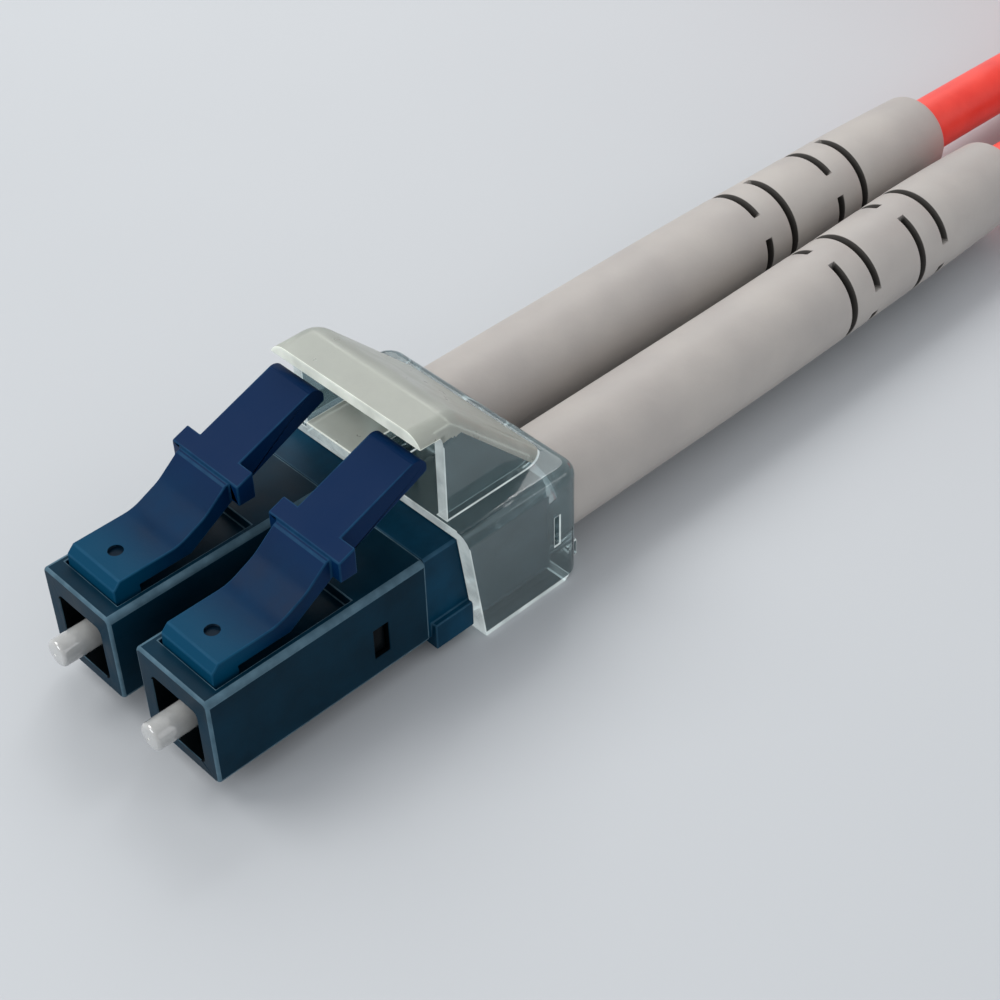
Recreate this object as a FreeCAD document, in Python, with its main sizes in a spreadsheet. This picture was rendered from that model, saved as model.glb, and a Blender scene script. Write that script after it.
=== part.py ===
# Duplex fibre connector: two plugs in a clear clip, with boots and a cut pair of cords.
# X runs back along the plugs, Y to the left plug, Z up from the clip's underside. Pieces are drawn
# with the nose faces at X 0, each plug about its own ferrule axis, and then placed so that the
# frame's zero is under the middle of the duplex plug. Lengths are in millimetres.
import math
import os

import FreeCAD, Part
import Sketcher

doc = FreeCAD.newDocument("duplex_connector")
sheet = doc.addObject("Spreadsheet::Sheet", "sizes")

# The driving sizes, then the sizes that follow from them.
rows = [
    ("plug_pitch", "6.25", "spacing of the two plugs"),
    ("axis_z", "3.05", "height of the ferrule axis above the clip's underside"),
    ("frame_width", "4.52", "width of a plug's nose"),
    ("frame_length", "10.9", "nose face to seam"),
    ("frame_below", "2.05", "nose underside below the axis"),
    ("frame_above", "2.47", "nose top above the axis"),
    ("mouth_size", "2.9", "square opening round the ferrule"),
    ("mouth_depth", "3.1", "depth of the square opening"),
    ("seat_x", "3.7", "face that the ferrule's flange seats on"),
    ("seat_bore", "1.2", "radius of the hole through the seat wall"),
    ("chamber_radius", "1.5", "spring chamber radius"),
    ("chamber_end", "7.4", "where the round chamber turns square"),
    ("socket_size", "3.5", "square socket for the rear body"),
    ("trough_start", "0.8", "front of the trough under the latch"),
    ("trough_end", "7.45", "rear of the trough"),
    ("trough_floor", "1.92", "trough floor above the axis"),
    ("trough_width", "3.6", "width of the trough"),
    ("root_x", "1.45", "latch root position"),
    ("root_z", "2.4", "latch root above the axis"),
    ("root_radius", "0.6", "latch root radius"),
    ("root_gap", "0.03", "gap round the latch root"),
    ("plate_width", "3.2", "latch plate width"),
    ("plate_top", "3.35", "latch plate top above the axis"),
    ("plate_thick", "0.75", "latch plate thickness"),
    ("rise_x", "4.1", "where the latch plate starts to rise to its shoulders"),
    ("rise_round", "2", "curve of that rise"),
    ("ear_x", "6.8", "front of the latch shoulders"),
    ("ear_length", "0.85", "length of the latch shoulders"),
    ("ear_top", "5.05", "top of the latch shoulders above the axis"),
    ("ear_depth", "1.0", "height of the latch shoulders"),
    ("ear_width", "4.3", "width over the latch shoulders"),
    ("lever_end", "12.05", "rear of the thumb lever"),
    ("lever_top", "6.93", "lever top at its rear above the axis"),
    ("lever_edge", "0.55", "rounding of the lever's rear top edge"),
    ("lever_thick", "0.95", "lever thickness"),
    ("lever_width", "2.6", "lever width"),
    ("dimple_x", "2.15", "gate mark on the latch plate"),
    ("dimple_radius", "0.33", "gate mark radius"),
    ("dimple_depth", "0.15", "gate mark depth"),
    ("window_x", "8.05", "front of the side window"),
    ("window_length", "0.8", "side window length"),
    ("window_low", "-1.0", "side window bottom from the axis"),
    ("window_high", "0.6", "side window top from the axis"),
    ("lug_gap", "0.06", "gap round a snap lug in its window"),
    ("lug_rise", "0.3", "how far a snap lug stands out"),
    ("ferrule_radius", "0.6245", "ferrule radius"),
    ("ferrule_reach", "1.4", "ferrule tip ahead of the nose face"),
    ("ferrule_length", "6.5", "ferrule length"),
    ("ferrule_relief", "0.2", "how much thinner the pressed end is"),
    ("glass_radius", "0.0625", "bare fibre radius"),
    ("flange_gap", "0.02", "flange face to its seat"),
    ("flange_radius", "1.45", "flange head radius"),
    ("flange_length", "1.5", "flange head length"),
    ("tube_radius", "0.85", "flange tube radius"),
    ("tube_length", "2.6", "flange tube length"),
    ("buffer_radius", "0.45", "buffered fibre radius"),
    ("buffer_gap", "0.02", "gap round the buffered fibre"),
    ("wire_radius", "0.16", "spring wire radius"),
    ("coil_radius", "1.1", "spring coil radius at the wire's middle"),
    ("coil_turns", "5", "spring turns"),
    ("spring_end", "10.0", "spring seat in the rear body"),
    ("rear_bore", "1.34", "spring chamber radius in the rear body"),
    ("fit_gap", "0.03", "gap round the rear body's spigot"),
    ("spigot_x", "7.6", "front of the spigot"),
    ("block_end", "17.6", "rear face of the rear body"),
    ("block_inset", "0.1", "how far the rear body is set in at each side"),
    ("shelf_width", "4.9", "width of the shelf under the rear body"),
    ("shelf_x", "11.15", "front of the shelf"),
    ("shelf_length", "2.1", "length of the shelf"),
    ("shelf_drop", "0.5", "shelf below the rear body"),
    ("shelf_rise", "0.85", "shelf top above the rear body's underside"),
    ("neck_radius", "1.3", "crimp neck radius"),
    ("neck_length", "4.9", "crimp neck length"),
    ("neck_bore", "0.65", "hole for the fibre"),
    ("rib_gap", "0.8", "spacing of the crimp grooves"),
    ("ring_length", "10.0", "length of the crimp ring"),
    ("ring_wall", "0.36", "wall of the crimp ring over the cord"),
    ("ring_gap", "0.01", "crimp ring to the cord and to the neck"),
    ("cord_radius", "1.5", "cord radius"),
    ("cord_start", "25.1", "where the cord's jacket begins"),
    ("boot_gap", "0.02", "boot to crimp ring"),
    ("boot_radius", "2.4", "boot radius"),
    ("boot_taper", "46.6", "where the boot starts to narrow"),
    ("boot_tail", "2.1", "boot radius at its tail"),
    ("boot_end", "53", "rear of the boot"),
    ("boot_slip", "1", "how much further back the left boot sits"),
    ("boot_slack", "0.08", "boot tail to cord"),
    ("slit_width", "0.36", "width of a slit"),
    ("slit_angle", "150", "sweep of a slit in degrees"),
    ("slit_first", "38.4", "first ring of slits"),
    ("slit_step", "1.85", "second ring of a pair"),
    ("slit_pair", "5.5", "second pair of rings"),
    ("clip_half", "6.1", "half width of the clip"),
    ("clip_top", "6.1", "top of the clip's lower box"),
    ("clip_x", "12.6", "clip front at the top of its box"),
    ("clip_lean", "0.85", "how far the front leans back"),
    ("clip_step", "0.25", "step under the clip's rear"),
    ("nest_gap", "0.05", "clip to rear body"),
    ("bore_gap", "0.15", "clip to boot"),
    ("clip_corner", "1.0", "rounding of the clip's rear corners"),
    ("clip_shoulder", "0.65", "rounding round the top of the clip's box"),
    ("lip_length", "0.3", "how far the foot stands out behind the clip"),
    ("lip_top", "1.1", "top of the foot behind the clip"),
    ("hood_x", "11.7", "front of the hood's roof"),
    ("hood_half", "4.7", "half width of the hood"),
    ("hood_top", "10.9", "top of the hood"),
    ("hood_flat", "2.15", "length of the hood's flat roof"),
    ("hood_wall", "0.55", "wall of the hood"),
    ("hood_bend", "1.4", "rounding where the roof turns down to the rear"),
    ("tab_x", "10.8", "front of the tab between the levers"),
    ("tab_half", "1.42", "half width of the tab"),
    ("tab_top", "8.9", "top of the tab"),
    ("tab_thick", "0.5", "tab thickness"),
    ("web_half", "0.45", "half thickness of the web under the tab"),
    ("hank_x", "92", "middle of the hank's near bend"),
    ("hank_run", "55", "straight length of the hank"),
    ("hank_bend", "9", "bend radius of the inner winding"),
    ("hank_height", "18.6", "height of the hank"),
    ("hank_chamfer", "0.95", "bevel along the hank's edges"),
    ("tie_width", "6", "width of the tie"),
    ("tie_thick", "0.55", "thickness of the tie"),
    ("tie_gap", "0.05", "gap round the tie"),
    # sizes that follow
    ("half_pitch", "=plug_pitch / 2", ""),
    ("socket_half", "=socket_size / 2", ""),
    ("mouth_half", "=mouth_size / 2", ""),
    ("spigot_half", "=socket_half - fit_gap", ""),
    ("window_end", "=window_x + window_length", ""),
    ("ferrule_end", "=ferrule_length - ferrule_reach", ""),
    ("flange_x", "=seat_x + flange_gap", ""),
    ("flange_back", "=flange_x + flange_length", ""),
    ("tube_end", "=flange_back + tube_length", ""),
    ("groove_radius", "=root_radius + root_gap", ""),
    ("plate_low", "=plate_top - plate_thick", ""),
    ("neck_end", "=block_end + neck_length", ""),
    ("ring_start", "=block_end + 0.4", "front of the crimp ring"),
    ("boot_x", "=block_end + 0.05", "front of the boot"),
    ("clip_end", "=block_end + 1.7", "rear of the clip"),
    ("ring_end", "=ring_start + ring_length", ""),
    ("ring_radius", "=cord_radius + ring_gap + ring_wall", ""),
    ("boot_bore", "=ring_radius + boot_gap", ""),
    ("tail_bore", "=cord_radius + boot_slack", ""),
    ("clip_bore", "=boot_radius + bore_gap", ""),
    ("block_half", "=frame_width / 2 - block_inset", ""),
    ("nest_half", "=block_half + nest_gap", ""),
    ("middle_x", "=(boot_end + boot_slip - ferrule_reach) / 2", ""),
]
for number, (alias, text, note) in enumerate(rows, start=1):
    sheet.set("A%d" % number, alias)
    sheet.set("B%d" % number, text)
    sheet.set("C%d" % number, note)
    sheet.setAlias("B%d" % number, alias)
doc.recompute()
size = {alias: float(sheet.get(alias)) for alias, text, note in rows}

sides = {"left": 1, "right": -1}
axisX = FreeCAD.Vector(1, 0, 0)
exported = []


def bind(item, prop, expression):
    item.setExpression(prop, expression)


def newBody(name):
    body = doc.addObject("PartDesign::Body", name)
    body.Label = name
    exported.append(body)
    return body


def placeAlong(item, expression="-sizes.middle_x"):
    """Moves a piece back so that the frame's zero is under the middle of the duplex plug."""
    bind(item, "Placement.Base.x", expression)


def placeOnPlug(body, side):
    """Moves a body drawn about the ferrule axis to its plug."""
    sign = sides[side]
    placeAlong(body)
    bind(body, "Placement.Base.y", "%d * sizes.half_pitch" % sign)
    bind(body, "Placement.Base.z", "sizes.axis_z")


def originPart(body, role):
    for item in body.Origin.OriginFeatures:
        if item.Role == role:
            return item
    raise ValueError(role)


def newSketch(body, role, name, offset=0.0, roll=0.0):
    """A sketch on one of the body's own planes, moved along its normal or rolled about its x."""
    sketch = body.newObject("Sketcher::SketchObject", name)
    sketch.AttachmentSupport = [(originPart(body, role), "")]
    sketch.MapMode = "FlatFace"
    turn = FreeCAD.Rotation(FreeCAD.Vector(1, 0, 0), roll)
    sketch.AttachmentOffset = FreeCAD.Placement(FreeCAD.Vector(0, 0, offset), turn)
    return sketch


def drawPolygon(sketch, points):
    """A closed outline whose corners are held at their coordinates."""
    first = sketch.GeometryCount
    total = len(points)
    for i in range(total):
        a = points[i]
        b = points[(i + 1) % total]
        start = FreeCAD.Vector(a[0], a[1], 0)
        end = FreeCAD.Vector(b[0], b[1], 0)
        sketch.addGeometry(Part.LineSegment(start, end), False)
    for i in range(total):
        follower = first + (i + 1) % total
        sketch.addConstraint(Sketcher.Constraint("Coincident", first + i, 2, follower, 1))
    for i in range(total):
        sketch.addConstraint(Sketcher.Constraint("DistanceX", -1, 1, first + i, 1, points[i][0]))
        sketch.addConstraint(Sketcher.Constraint("DistanceY", -1, 1, first + i, 1, points[i][1]))


def drawBox(sketch, x0, x1, y0, y1):
    drawPolygon(sketch, [(x0, y0), (x1, y0), (x1, y1), (x0, y1)])


def drawCircle(sketch, x, y, radius, radiusName=None):
    """A circle, its radius tied to a named size where one is given."""
    number = sketch.addGeometry(Part.Circle(FreeCAD.Vector(x, y, 0), FreeCAD.Vector(0, 0, 1), radius))
    if abs(x) + abs(y) < 1e-9:
        sketch.addConstraint(Sketcher.Constraint("Coincident", number, 3, -1, 1))
    else:
        sketch.addConstraint(Sketcher.Constraint("DistanceX", -1, 1, number, 3, x))
        sketch.addConstraint(Sketcher.Constraint("DistanceY", -1, 1, number, 3, y))
    index = sketch.addConstraint(Sketcher.Constraint("Radius", number, radius))
    if radiusName:
        bind(sketch, "Constraints[%d]" % index, "sizes.%s" % radiusName)


def drawSquare(sketch, halfName):
    """A square about the ferrule axis, its half width tied to a named size."""
    half = size[halfName]
    drawBox(sketch, -half, half, -half, half)
    signs = [(-1, -1), (1, -1), (1, 1), (-1, 1)]
    for corner, (signX, signY) in enumerate(signs):
        bind(sketch, "Constraints[%d]" % (4 + 2 * corner), "%d * sizes.%s" % (signX, halfName))
        bind(sketch, "Constraints[%d]" % (5 + 2 * corner), "%d * sizes.%s" % (signY, halfName))


def pad(body, sketch, name, length, reverse=False, middle=False, expression=None):
    feature = body.newObject("PartDesign::Pad", name)
    feature.Profile = sketch
    feature.Length = length
    feature.Reversed = reverse
    feature.Midplane = middle
    if expression:
        bind(feature, "Length", expression)
    body.Tip = feature
    doc.recompute()
    return feature


def cut(body, sketch, name, length, reverse=False, middle=False, expression=None):
    """A pocket; it stops the build if it takes nothing away."""
    before = body.Shape.Volume
    feature = body.newObject("PartDesign::Pocket", name)
    feature.Profile = sketch
    feature.Length = length
    feature.Reversed = reverse
    feature.Midplane = middle
    if expression:
        bind(feature, "Length", expression)
    body.Tip = feature
    doc.recompute()
    if not body.Shape.Volume < before - 1e-6:
        raise RuntimeError("%s cuts nothing" % name)
    return feature


def revolve(body, sketch, name, kind="PartDesign::Revolution", angle=360.0, middle=False):
    feature = body.newObject(kind, name)
    feature.Profile = sketch
    feature.ReferenceAxis = (originPart(body, "X_Axis"), [""])
    feature.Angle = angle
    feature.Midplane = middle
    body.Tip = feature
    doc.recompute()
    return feature


def edgesWhere(shape, test):
    """Names of the straight or round edges whose whole length passes the test."""
    names = []
    for number, edge in enumerate(shape.Edges, start=1):
        if edge.Length < 1e-6:
            continue
        middle = edge.valueAt((edge.FirstParameter + edge.LastParameter) / 2)
        points = [vertex.Point for vertex in edge.Vertexes] + [middle]
        if all(test(point) for point in points):
            names.append("Edge%d" % number)
    return names


def soften(body, name, radius, test, kind="PartDesign::Fillet"):
    """Rounds or chamfers the edges that pass the test."""
    base = body.Tip
    names = edgesWhere(base.Shape, test)
    if not names:
        raise RuntimeError("%s finds no edge" % name)
    feature = body.newObject(kind, name)
    feature.Base = (base, names)
    if kind.endswith("Fillet"):
        feature.Radius = radius
    else:
        feature.Size = radius
    body.Tip = feature
    doc.recompute()
    if feature.Shape.isNull() or not feature.Shape.isValid():
        raise RuntimeError("%s makes a bad shape" % name)
    return feature


def near(a, b):
    return abs(a - b) < 1e-4


def makeFrame(side):
    """The moulded nose: mouth, flange seat, spring chamber, socket, trough and windows."""
    body = newBody("plug_frame_" + side)
    tag = "frame_" + side
    half = size["frame_width"] / 2
    low = -size["frame_below"]
    high = size["frame_above"]
    sketch = newSketch(body, "YZ_Plane", tag + "_section")
    drawBox(sketch, -half, half, low, high)
    pad(body, sketch, tag + "_block", size["frame_length"], expression="sizes.frame_length")
    soften(body, tag + "_long_edges", 0.3, lambda p: near(abs(p.y), half) and (
        near(p.z, low) or near(p.z, high)))
    soften(body, tag + "_nose_edges", 0.15, lambda p: near(p.x, 0))
    sketch = newSketch(body, "YZ_Plane", tag + "_mouth_outline")
    drawSquare(sketch, "mouth_half")
    cut(body, sketch, tag + "_mouth", size["mouth_depth"], reverse=True,
        expression="sizes.mouth_depth")
    mouthHalf = size["mouth_half"]
    soften(body, tag + "_mouth_corners", 0.3, lambda p: near(abs(p.y), mouthHalf)
           and near(abs(p.z), mouthHalf) and p.x < size["mouth_depth"] + 0.01)
    sketch = newSketch(body, "YZ_Plane", tag + "_seat_circle")
    drawCircle(sketch, 0, 0, size["seat_bore"], "seat_bore")
    cut(body, sketch, tag + "_seat_hole", size["seat_x"] + 0.1, reverse=True,
        expression="sizes.seat_x + 0.1")
    sketch = newSketch(body, "YZ_Plane", tag + "_chamber_circle", offset=size["seat_x"])
    bind(sketch, "AttachmentOffset.Base.z", "sizes.seat_x")
    drawCircle(sketch, 0, 0, size["chamber_radius"], "chamber_radius")
    cut(body, sketch, tag + "_chamber", size["chamber_end"] - size["seat_x"] + 0.1,
        reverse=True, expression="sizes.chamber_end - sizes.seat_x + 0.1")
    sketch = newSketch(body, "YZ_Plane", tag + "_socket_outline", offset=size["chamber_end"])
    bind(sketch, "AttachmentOffset.Base.z", "sizes.chamber_end")
    drawSquare(sketch, "socket_half")
    cut(body, sketch, tag + "_socket", size["frame_length"], reverse=True)
    sketch = newSketch(body, "XZ_Plane", tag + "_trough_side")
    drawBox(sketch, size["trough_start"], size["trough_end"], size["trough_floor"], high + 1)
    cut(body, sketch, tag + "_trough", size["trough_width"], middle=True,
        expression="sizes.trough_width")
    sketch = newSketch(body, "XZ_Plane", tag + "_root_circle")
    drawCircle(sketch, size["root_x"], size["root_z"], size["groove_radius"], "groove_radius")
    cut(body, sketch, tag + "_root_groove", size["trough_width"], middle=True,
        expression="sizes.trough_width")
    sketch = newSketch(body, "XZ_Plane", tag + "_window_side")
    drawBox(sketch, size["window_x"], size["window_end"], size["window_low"], size["window_high"])
    cut(body, sketch, tag + "_windows", size["frame_width"] + 1, middle=True)
    placeOnPlug(body, side)
    return body


def makeLatch(side):
    """The latch: a plate from its root at the nose, shoulders, and a thumb lever behind them."""
    body = newBody("latch_arm_" + side)
    tag = "latch_" + side
    rootX = size["root_x"]
    front = rootX - size["root_radius"]
    top = size["plate_top"]
    low = size["plate_low"]
    earX = size["ear_x"]
    earTop = size["ear_top"]
    riseX = size["rise_x"]
    bendX = riseX + 0.55 * (earX - 0.2 - riseX)
    sketch = newSketch(body, "XZ_Plane", tag + "_plate_side")
    drawPolygon(sketch, [
        (front, size["root_z"]),
        (rootX, low),
        (riseX + 0.5, low),
        (earX + 0.2, earTop - size["ear_depth"]),
        (earX + 0.9, earTop - size["ear_depth"]),
        (earX, earTop - 0.1),
        (earX - 0.2, earTop - 0.15),
        (bendX, top + 0.37 * (earTop - top)),
        (riseX, top),
        (front + 0.35, top),
        (front, top - 0.35),
    ])
    pad(body, sketch, tag + "_plate", size["plate_width"], middle=True,
        expression="sizes.plate_width")
    soften(body, tag + "_rise", size["rise_round"],
           lambda p: (near(p.x, riseX) or near(p.x, bendX)) and p.z > top - 0.01)
    sketch = newSketch(body, "XZ_Plane", tag + "_root_side")
    drawCircle(sketch, rootX, size["root_z"], size["root_radius"], "root_radius")
    pad(body, sketch, tag + "_root", size["plate_width"], middle=True,
        expression="sizes.plate_width")
    # the lever rises to the rear and its end face leans with it
    lean = math.atan2(size["lever_top"] - earTop, size["lever_end"] - earX)
    thick = size["lever_thick"]
    leverEnd = size["lever_end"]
    sketch = newSketch(body, "XZ_Plane", tag + "_lever_side")
    drawPolygon(sketch, [
        (earX, earTop - size["ear_depth"]),
        (earX + 0.9, earTop - size["ear_depth"]),
        (leverEnd + thick * math.sin(lean) - 0.2, size["lever_top"] - thick),
        (leverEnd, size["lever_top"]),
        (earX, earTop),
    ])
    pad(body, sketch, tag + "_lever", size["lever_width"], middle=True,
        expression="sizes.lever_width")
    soften(body, tag + "_lever_edge", size["lever_edge"],
           lambda p: near(p.x, leverEnd) and near(p.z, size["lever_top"]))
    sketch = newSketch(body, "XZ_Plane", tag + "_ear_side")
    drawPolygon(sketch, [
        (earX, earTop - size["ear_depth"]),
        (earX + size["ear_length"], earTop - size["ear_depth"]),
        (earX + size["ear_length"], earTop + size["ear_length"] * math.tan(lean)),
        (earX, earTop),
    ])
    pad(body, sketch, tag + "_ears", size["ear_width"], middle=True,
        expression="sizes.ear_width")
    sketch = newSketch(body, "XY_Plane", tag + "_dimple_circle", offset=top)
    bind(sketch, "AttachmentOffset.Base.z", "sizes.plate_top")
    drawCircle(sketch, size["dimple_x"], 0, size["dimple_radius"], "dimple_radius")
    cut(body, sketch, tag + "_dimple", size["dimple_depth"], expression="sizes.dimple_depth")
    placeOnPlug(body, side)
    return body


def makeRearBody(side):
    """The rear body: spigot with snap lugs, block, shelf and crimp neck, bored for the fibre."""
    body = newBody("rear_body_" + side)
    tag = "rear_" + side
    blockX = size["frame_length"] + size["fit_gap"]
    half = size["block_half"]
    low = -size["frame_below"]
    high = size["frame_above"]
    sketch = newSketch(body, "YZ_Plane", tag + "_block_section", offset=blockX)
    bind(sketch, "AttachmentOffset.Base.z", "sizes.frame_length + sizes.fit_gap")
    drawBox(sketch, -half, half, low, high)
    pad(body, sketch, tag + "_block", size["block_end"] - blockX,
        expression="sizes.block_end - sizes.frame_length - sizes.fit_gap")
    soften(body, tag + "_block_edges", 0.15, lambda p: near(abs(p.y), half) and (
        near(p.z, low) or near(p.z, high)))
    sketch = newSketch(body, "YZ_Plane", tag + "_spigot_section", offset=size["spigot_x"])
    bind(sketch, "AttachmentOffset.Base.z", "sizes.spigot_x")
    drawSquare(sketch, "spigot_half")
    pad(body, sketch, tag + "_spigot", blockX - size["spigot_x"] + 0.5)
    sketch = newSketch(body, "YZ_Plane", tag + "_shelf_section", offset=size["shelf_x"])
    bind(sketch, "AttachmentOffset.Base.z", "sizes.shelf_x")
    shelfHalf = size["shelf_width"] / 2
    drawBox(sketch, -shelfHalf, shelfHalf, low - size["shelf_drop"], low + size["shelf_rise"])
    pad(body, sketch, tag + "_shelf", size["shelf_length"], expression="sizes.shelf_length")
    sketch = newSketch(body, "YZ_Plane", tag + "_neck_circle", offset=size["block_end"] - 0.5)
    bind(sketch, "AttachmentOffset.Base.z", "sizes.block_end - 0.5")
    drawCircle(sketch, 0, 0, size["neck_radius"], "neck_radius")
    pad(body, sketch, tag + "_neck", size["neck_length"] + 0.5,
        expression="sizes.neck_length + 0.5")
    # snap lugs, set in from the outside of the windows
    gap = size["lug_gap"]
    sketch = newSketch(body, "XZ_Plane", tag + "_lug_side")
    drawBox(sketch, size["window_x"] + gap, size["window_end"] - gap,
            size["window_low"] + gap, size["window_high"] - gap)
    pad(body, sketch, tag + "_lugs", 2 * (size["spigot_half"] + size["lug_rise"]), middle=True)
    sketch = newSketch(body, "YZ_Plane", tag + "_bore_circle", offset=size["spigot_x"])
    bind(sketch, "AttachmentOffset.Base.z", "sizes.spigot_x")
    drawCircle(sketch, 0, 0, size["rear_bore"], "rear_bore")
    cut(body, sketch, tag + "_spring_bore", size["spring_end"] - size["spigot_x"], reverse=True,
        expression="sizes.spring_end - sizes.spigot_x")
    sketch = newSketch(body, "YZ_Plane", tag + "_fibre_circle", offset=size["spigot_x"])
    drawCircle(sketch, 0, 0, size["neck_bore"], "neck_bore")
    cut(body, sketch, tag + "_fibre_bore", size["neck_end"], reverse=True)
    # crimp grooves round the neck
    sketch = newSketch(body, "XZ_Plane", tag + "_groove_side")
    grooveX = size["block_end"] + 1.2
    radius = size["neck_radius"]
    drawPolygon(sketch, [(grooveX, radius + 0.05), (grooveX + 0.35, radius + 0.05),
                         (grooveX + 0.175, radius - 0.15)])
    groove = revolve(body, sketch, tag + "_groove", "PartDesign::Groove")
    pattern = body.newObject("PartDesign::LinearPattern", tag + "_grooves")
    pattern.Originals = [groove]
    pattern.Direction = (originPart(body, "X_Axis"), [""])
    pattern.Length = 3 * size["rib_gap"]
    pattern.Occurrences = 4
    body.Tip = pattern
    doc.recompute()
    placeOnPlug(body, side)
    return body


def makeRound(name, side, outline):
    """A turned piece: its half section goes round the ferrule axis."""
    body = newBody(name + "_" + side)
    sketch = newSketch(body, "XZ_Plane", name + "_" + side + "_half_section")
    drawPolygon(sketch, outline)
    revolve(body, sketch, name + "_" + side + "_turned")
    placeOnPlug(body, side)
    return body


def ferruleOutline():
    tip = -size["ferrule_reach"]
    end = size["ferrule_end"]
    radius = size["ferrule_radius"]
    pressed = radius - size["ferrule_relief"]
    bore = size["glass_radius"]
    return [
        (tip, bore),
        (tip, radius - 0.17),
        (tip + 0.12, radius),
        (size["flange_x"], radius),
        (size["flange_x"], pressed),
        (end, pressed),
        (end, 0.3),
        (end - 0.6, bore),
    ]


def flangeOutline():
    front = size["flange_x"]
    back = size["flange_back"]
    head = size["flange_radius"]
    tube = size["tube_radius"]
    end = size["tube_end"]
    bore = size["ferrule_radius"] - size["ferrule_relief"]
    rear = size["buffer_radius"] + size["buffer_gap"]
    return [
        (front, bore),
        (front, head - 0.15),
        (front + 0.15, head),
        (back - 0.2, head),
        (back, head - 0.2),
        (back, tube),
        (end - 0.1, tube),
        (end, tube - 0.1),
        (end, rear),
        (size["ferrule_end"], rear),
        (size["ferrule_end"], bore),
    ]


def fibreOutline():
    """Bare glass through the ferrule, then the buffered fibre to the crimp."""
    tip = -size["ferrule_reach"]
    step = size["ferrule_end"]
    glass = size["glass_radius"]
    end = size["cord_start"] - 1.2
    return [(tip, 0), (tip, glass), (step, glass), (step, size["buffer_radius"]),
            (end, size["buffer_radius"]), (end, 0)]


def crimpOutline():
    start = size["ring_start"]
    end = size["ring_end"]
    outer = size["ring_radius"]
    overNeck = size["neck_radius"] + size["ring_gap"]
    overCord = size["cord_radius"] + size["ring_gap"]
    step = size["neck_end"] + 0.2
    return [
        (start, overNeck),
        (start, outer - 0.1),
        (start + 0.1, outer),
        (end - 0.1, outer),
        (end, outer - 0.1),
        (end, overCord),
        (step, overCord),
        (step, overNeck),
    ]


def makeBoot(side, roll):
    """The boot: a long tube with two pairs of slit rings near its tail."""
    slip = size["boot_slip"] if side == "left" else 0
    front = size["boot_x"] + slip
    end = size["boot_end"] + slip
    step = size["ring_end"] + 0.2 + slip
    radius = size["boot_radius"]
    tail = size["boot_tail"]
    body = makeRound("boot", side, [
        (front, size["boot_bore"]),
        (front, radius - 0.2),
        (front + 0.2, radius),
        (size["boot_taper"] + slip, radius),
        (end - 0.15, tail),
        (end, tail - 0.15),
        (end, size["tail_bore"]),
        (step, size["tail_bore"]),
        (step, size["boot_bore"]),
    ])
    width = size["slit_width"]
    for ring in range(4):
        x = size["slit_first"] + slip
        x += size["slit_pair"] * (ring // 2) + size["slit_step"] * (ring % 2)
        for half in range(2):
            # the second ring of a pair is turned a quarter, so that its slits face the bridges
            turn = roll + 90 * (ring % 2) + 180 * half
            name = "boot_%s_slit_%d_%d" % (side, ring, half)
            sketch = newSketch(body, "XZ_Plane", name + "_side", roll=turn)
            drawBox(sketch, x, x + width, size["tail_bore"] - 0.3, radius + 0.3)
            revolve(body, sketch, name, "PartDesign::Groove", size["slit_angle"], middle=True)
    return body


def makeSpring(side):
    """The compression spring between the flange and its seat in the rear body."""
    feature = doc.addObject("Part::Feature", "spring_" + side)
    feature.Label = "spring_" + side
    wire = size["wire_radius"]
    start = size["flange_back"] + wire + 0.01
    length = size["spring_end"] - wire - 0.01 - start
    radius = size["coil_radius"]
    helix = Part.makeHelix(length / size["coil_turns"], length, radius)
    section = Part.Wire(Part.makeCircle(wire, FreeCAD.Vector(radius, 0, 0), FreeCAD.Vector(0, 1, 0)))
    shape = Part.Wire(helix).makePipeShell([section], True, True)
    if shape.Volume < 0:
        shape.reverse()
    feature.Shape = shape
    feature.Placement = FreeCAD.Placement(
        FreeCAD.Vector(start, sides[side] * size["half_pitch"], size["axis_z"]),
        FreeCAD.Rotation(FreeCAD.Vector(0, 1, 0), 90))
    placeAlong(feature, "sizes.flange_back + sizes.wire_radius + 0.01 - sizes.middle_x")
    bind(feature, "Placement.Base.y", "%d * sizes.half_pitch" % sides[side])
    bind(feature, "Placement.Base.z", "sizes.axis_z")
    exported.append(feature)
    return feature


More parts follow.
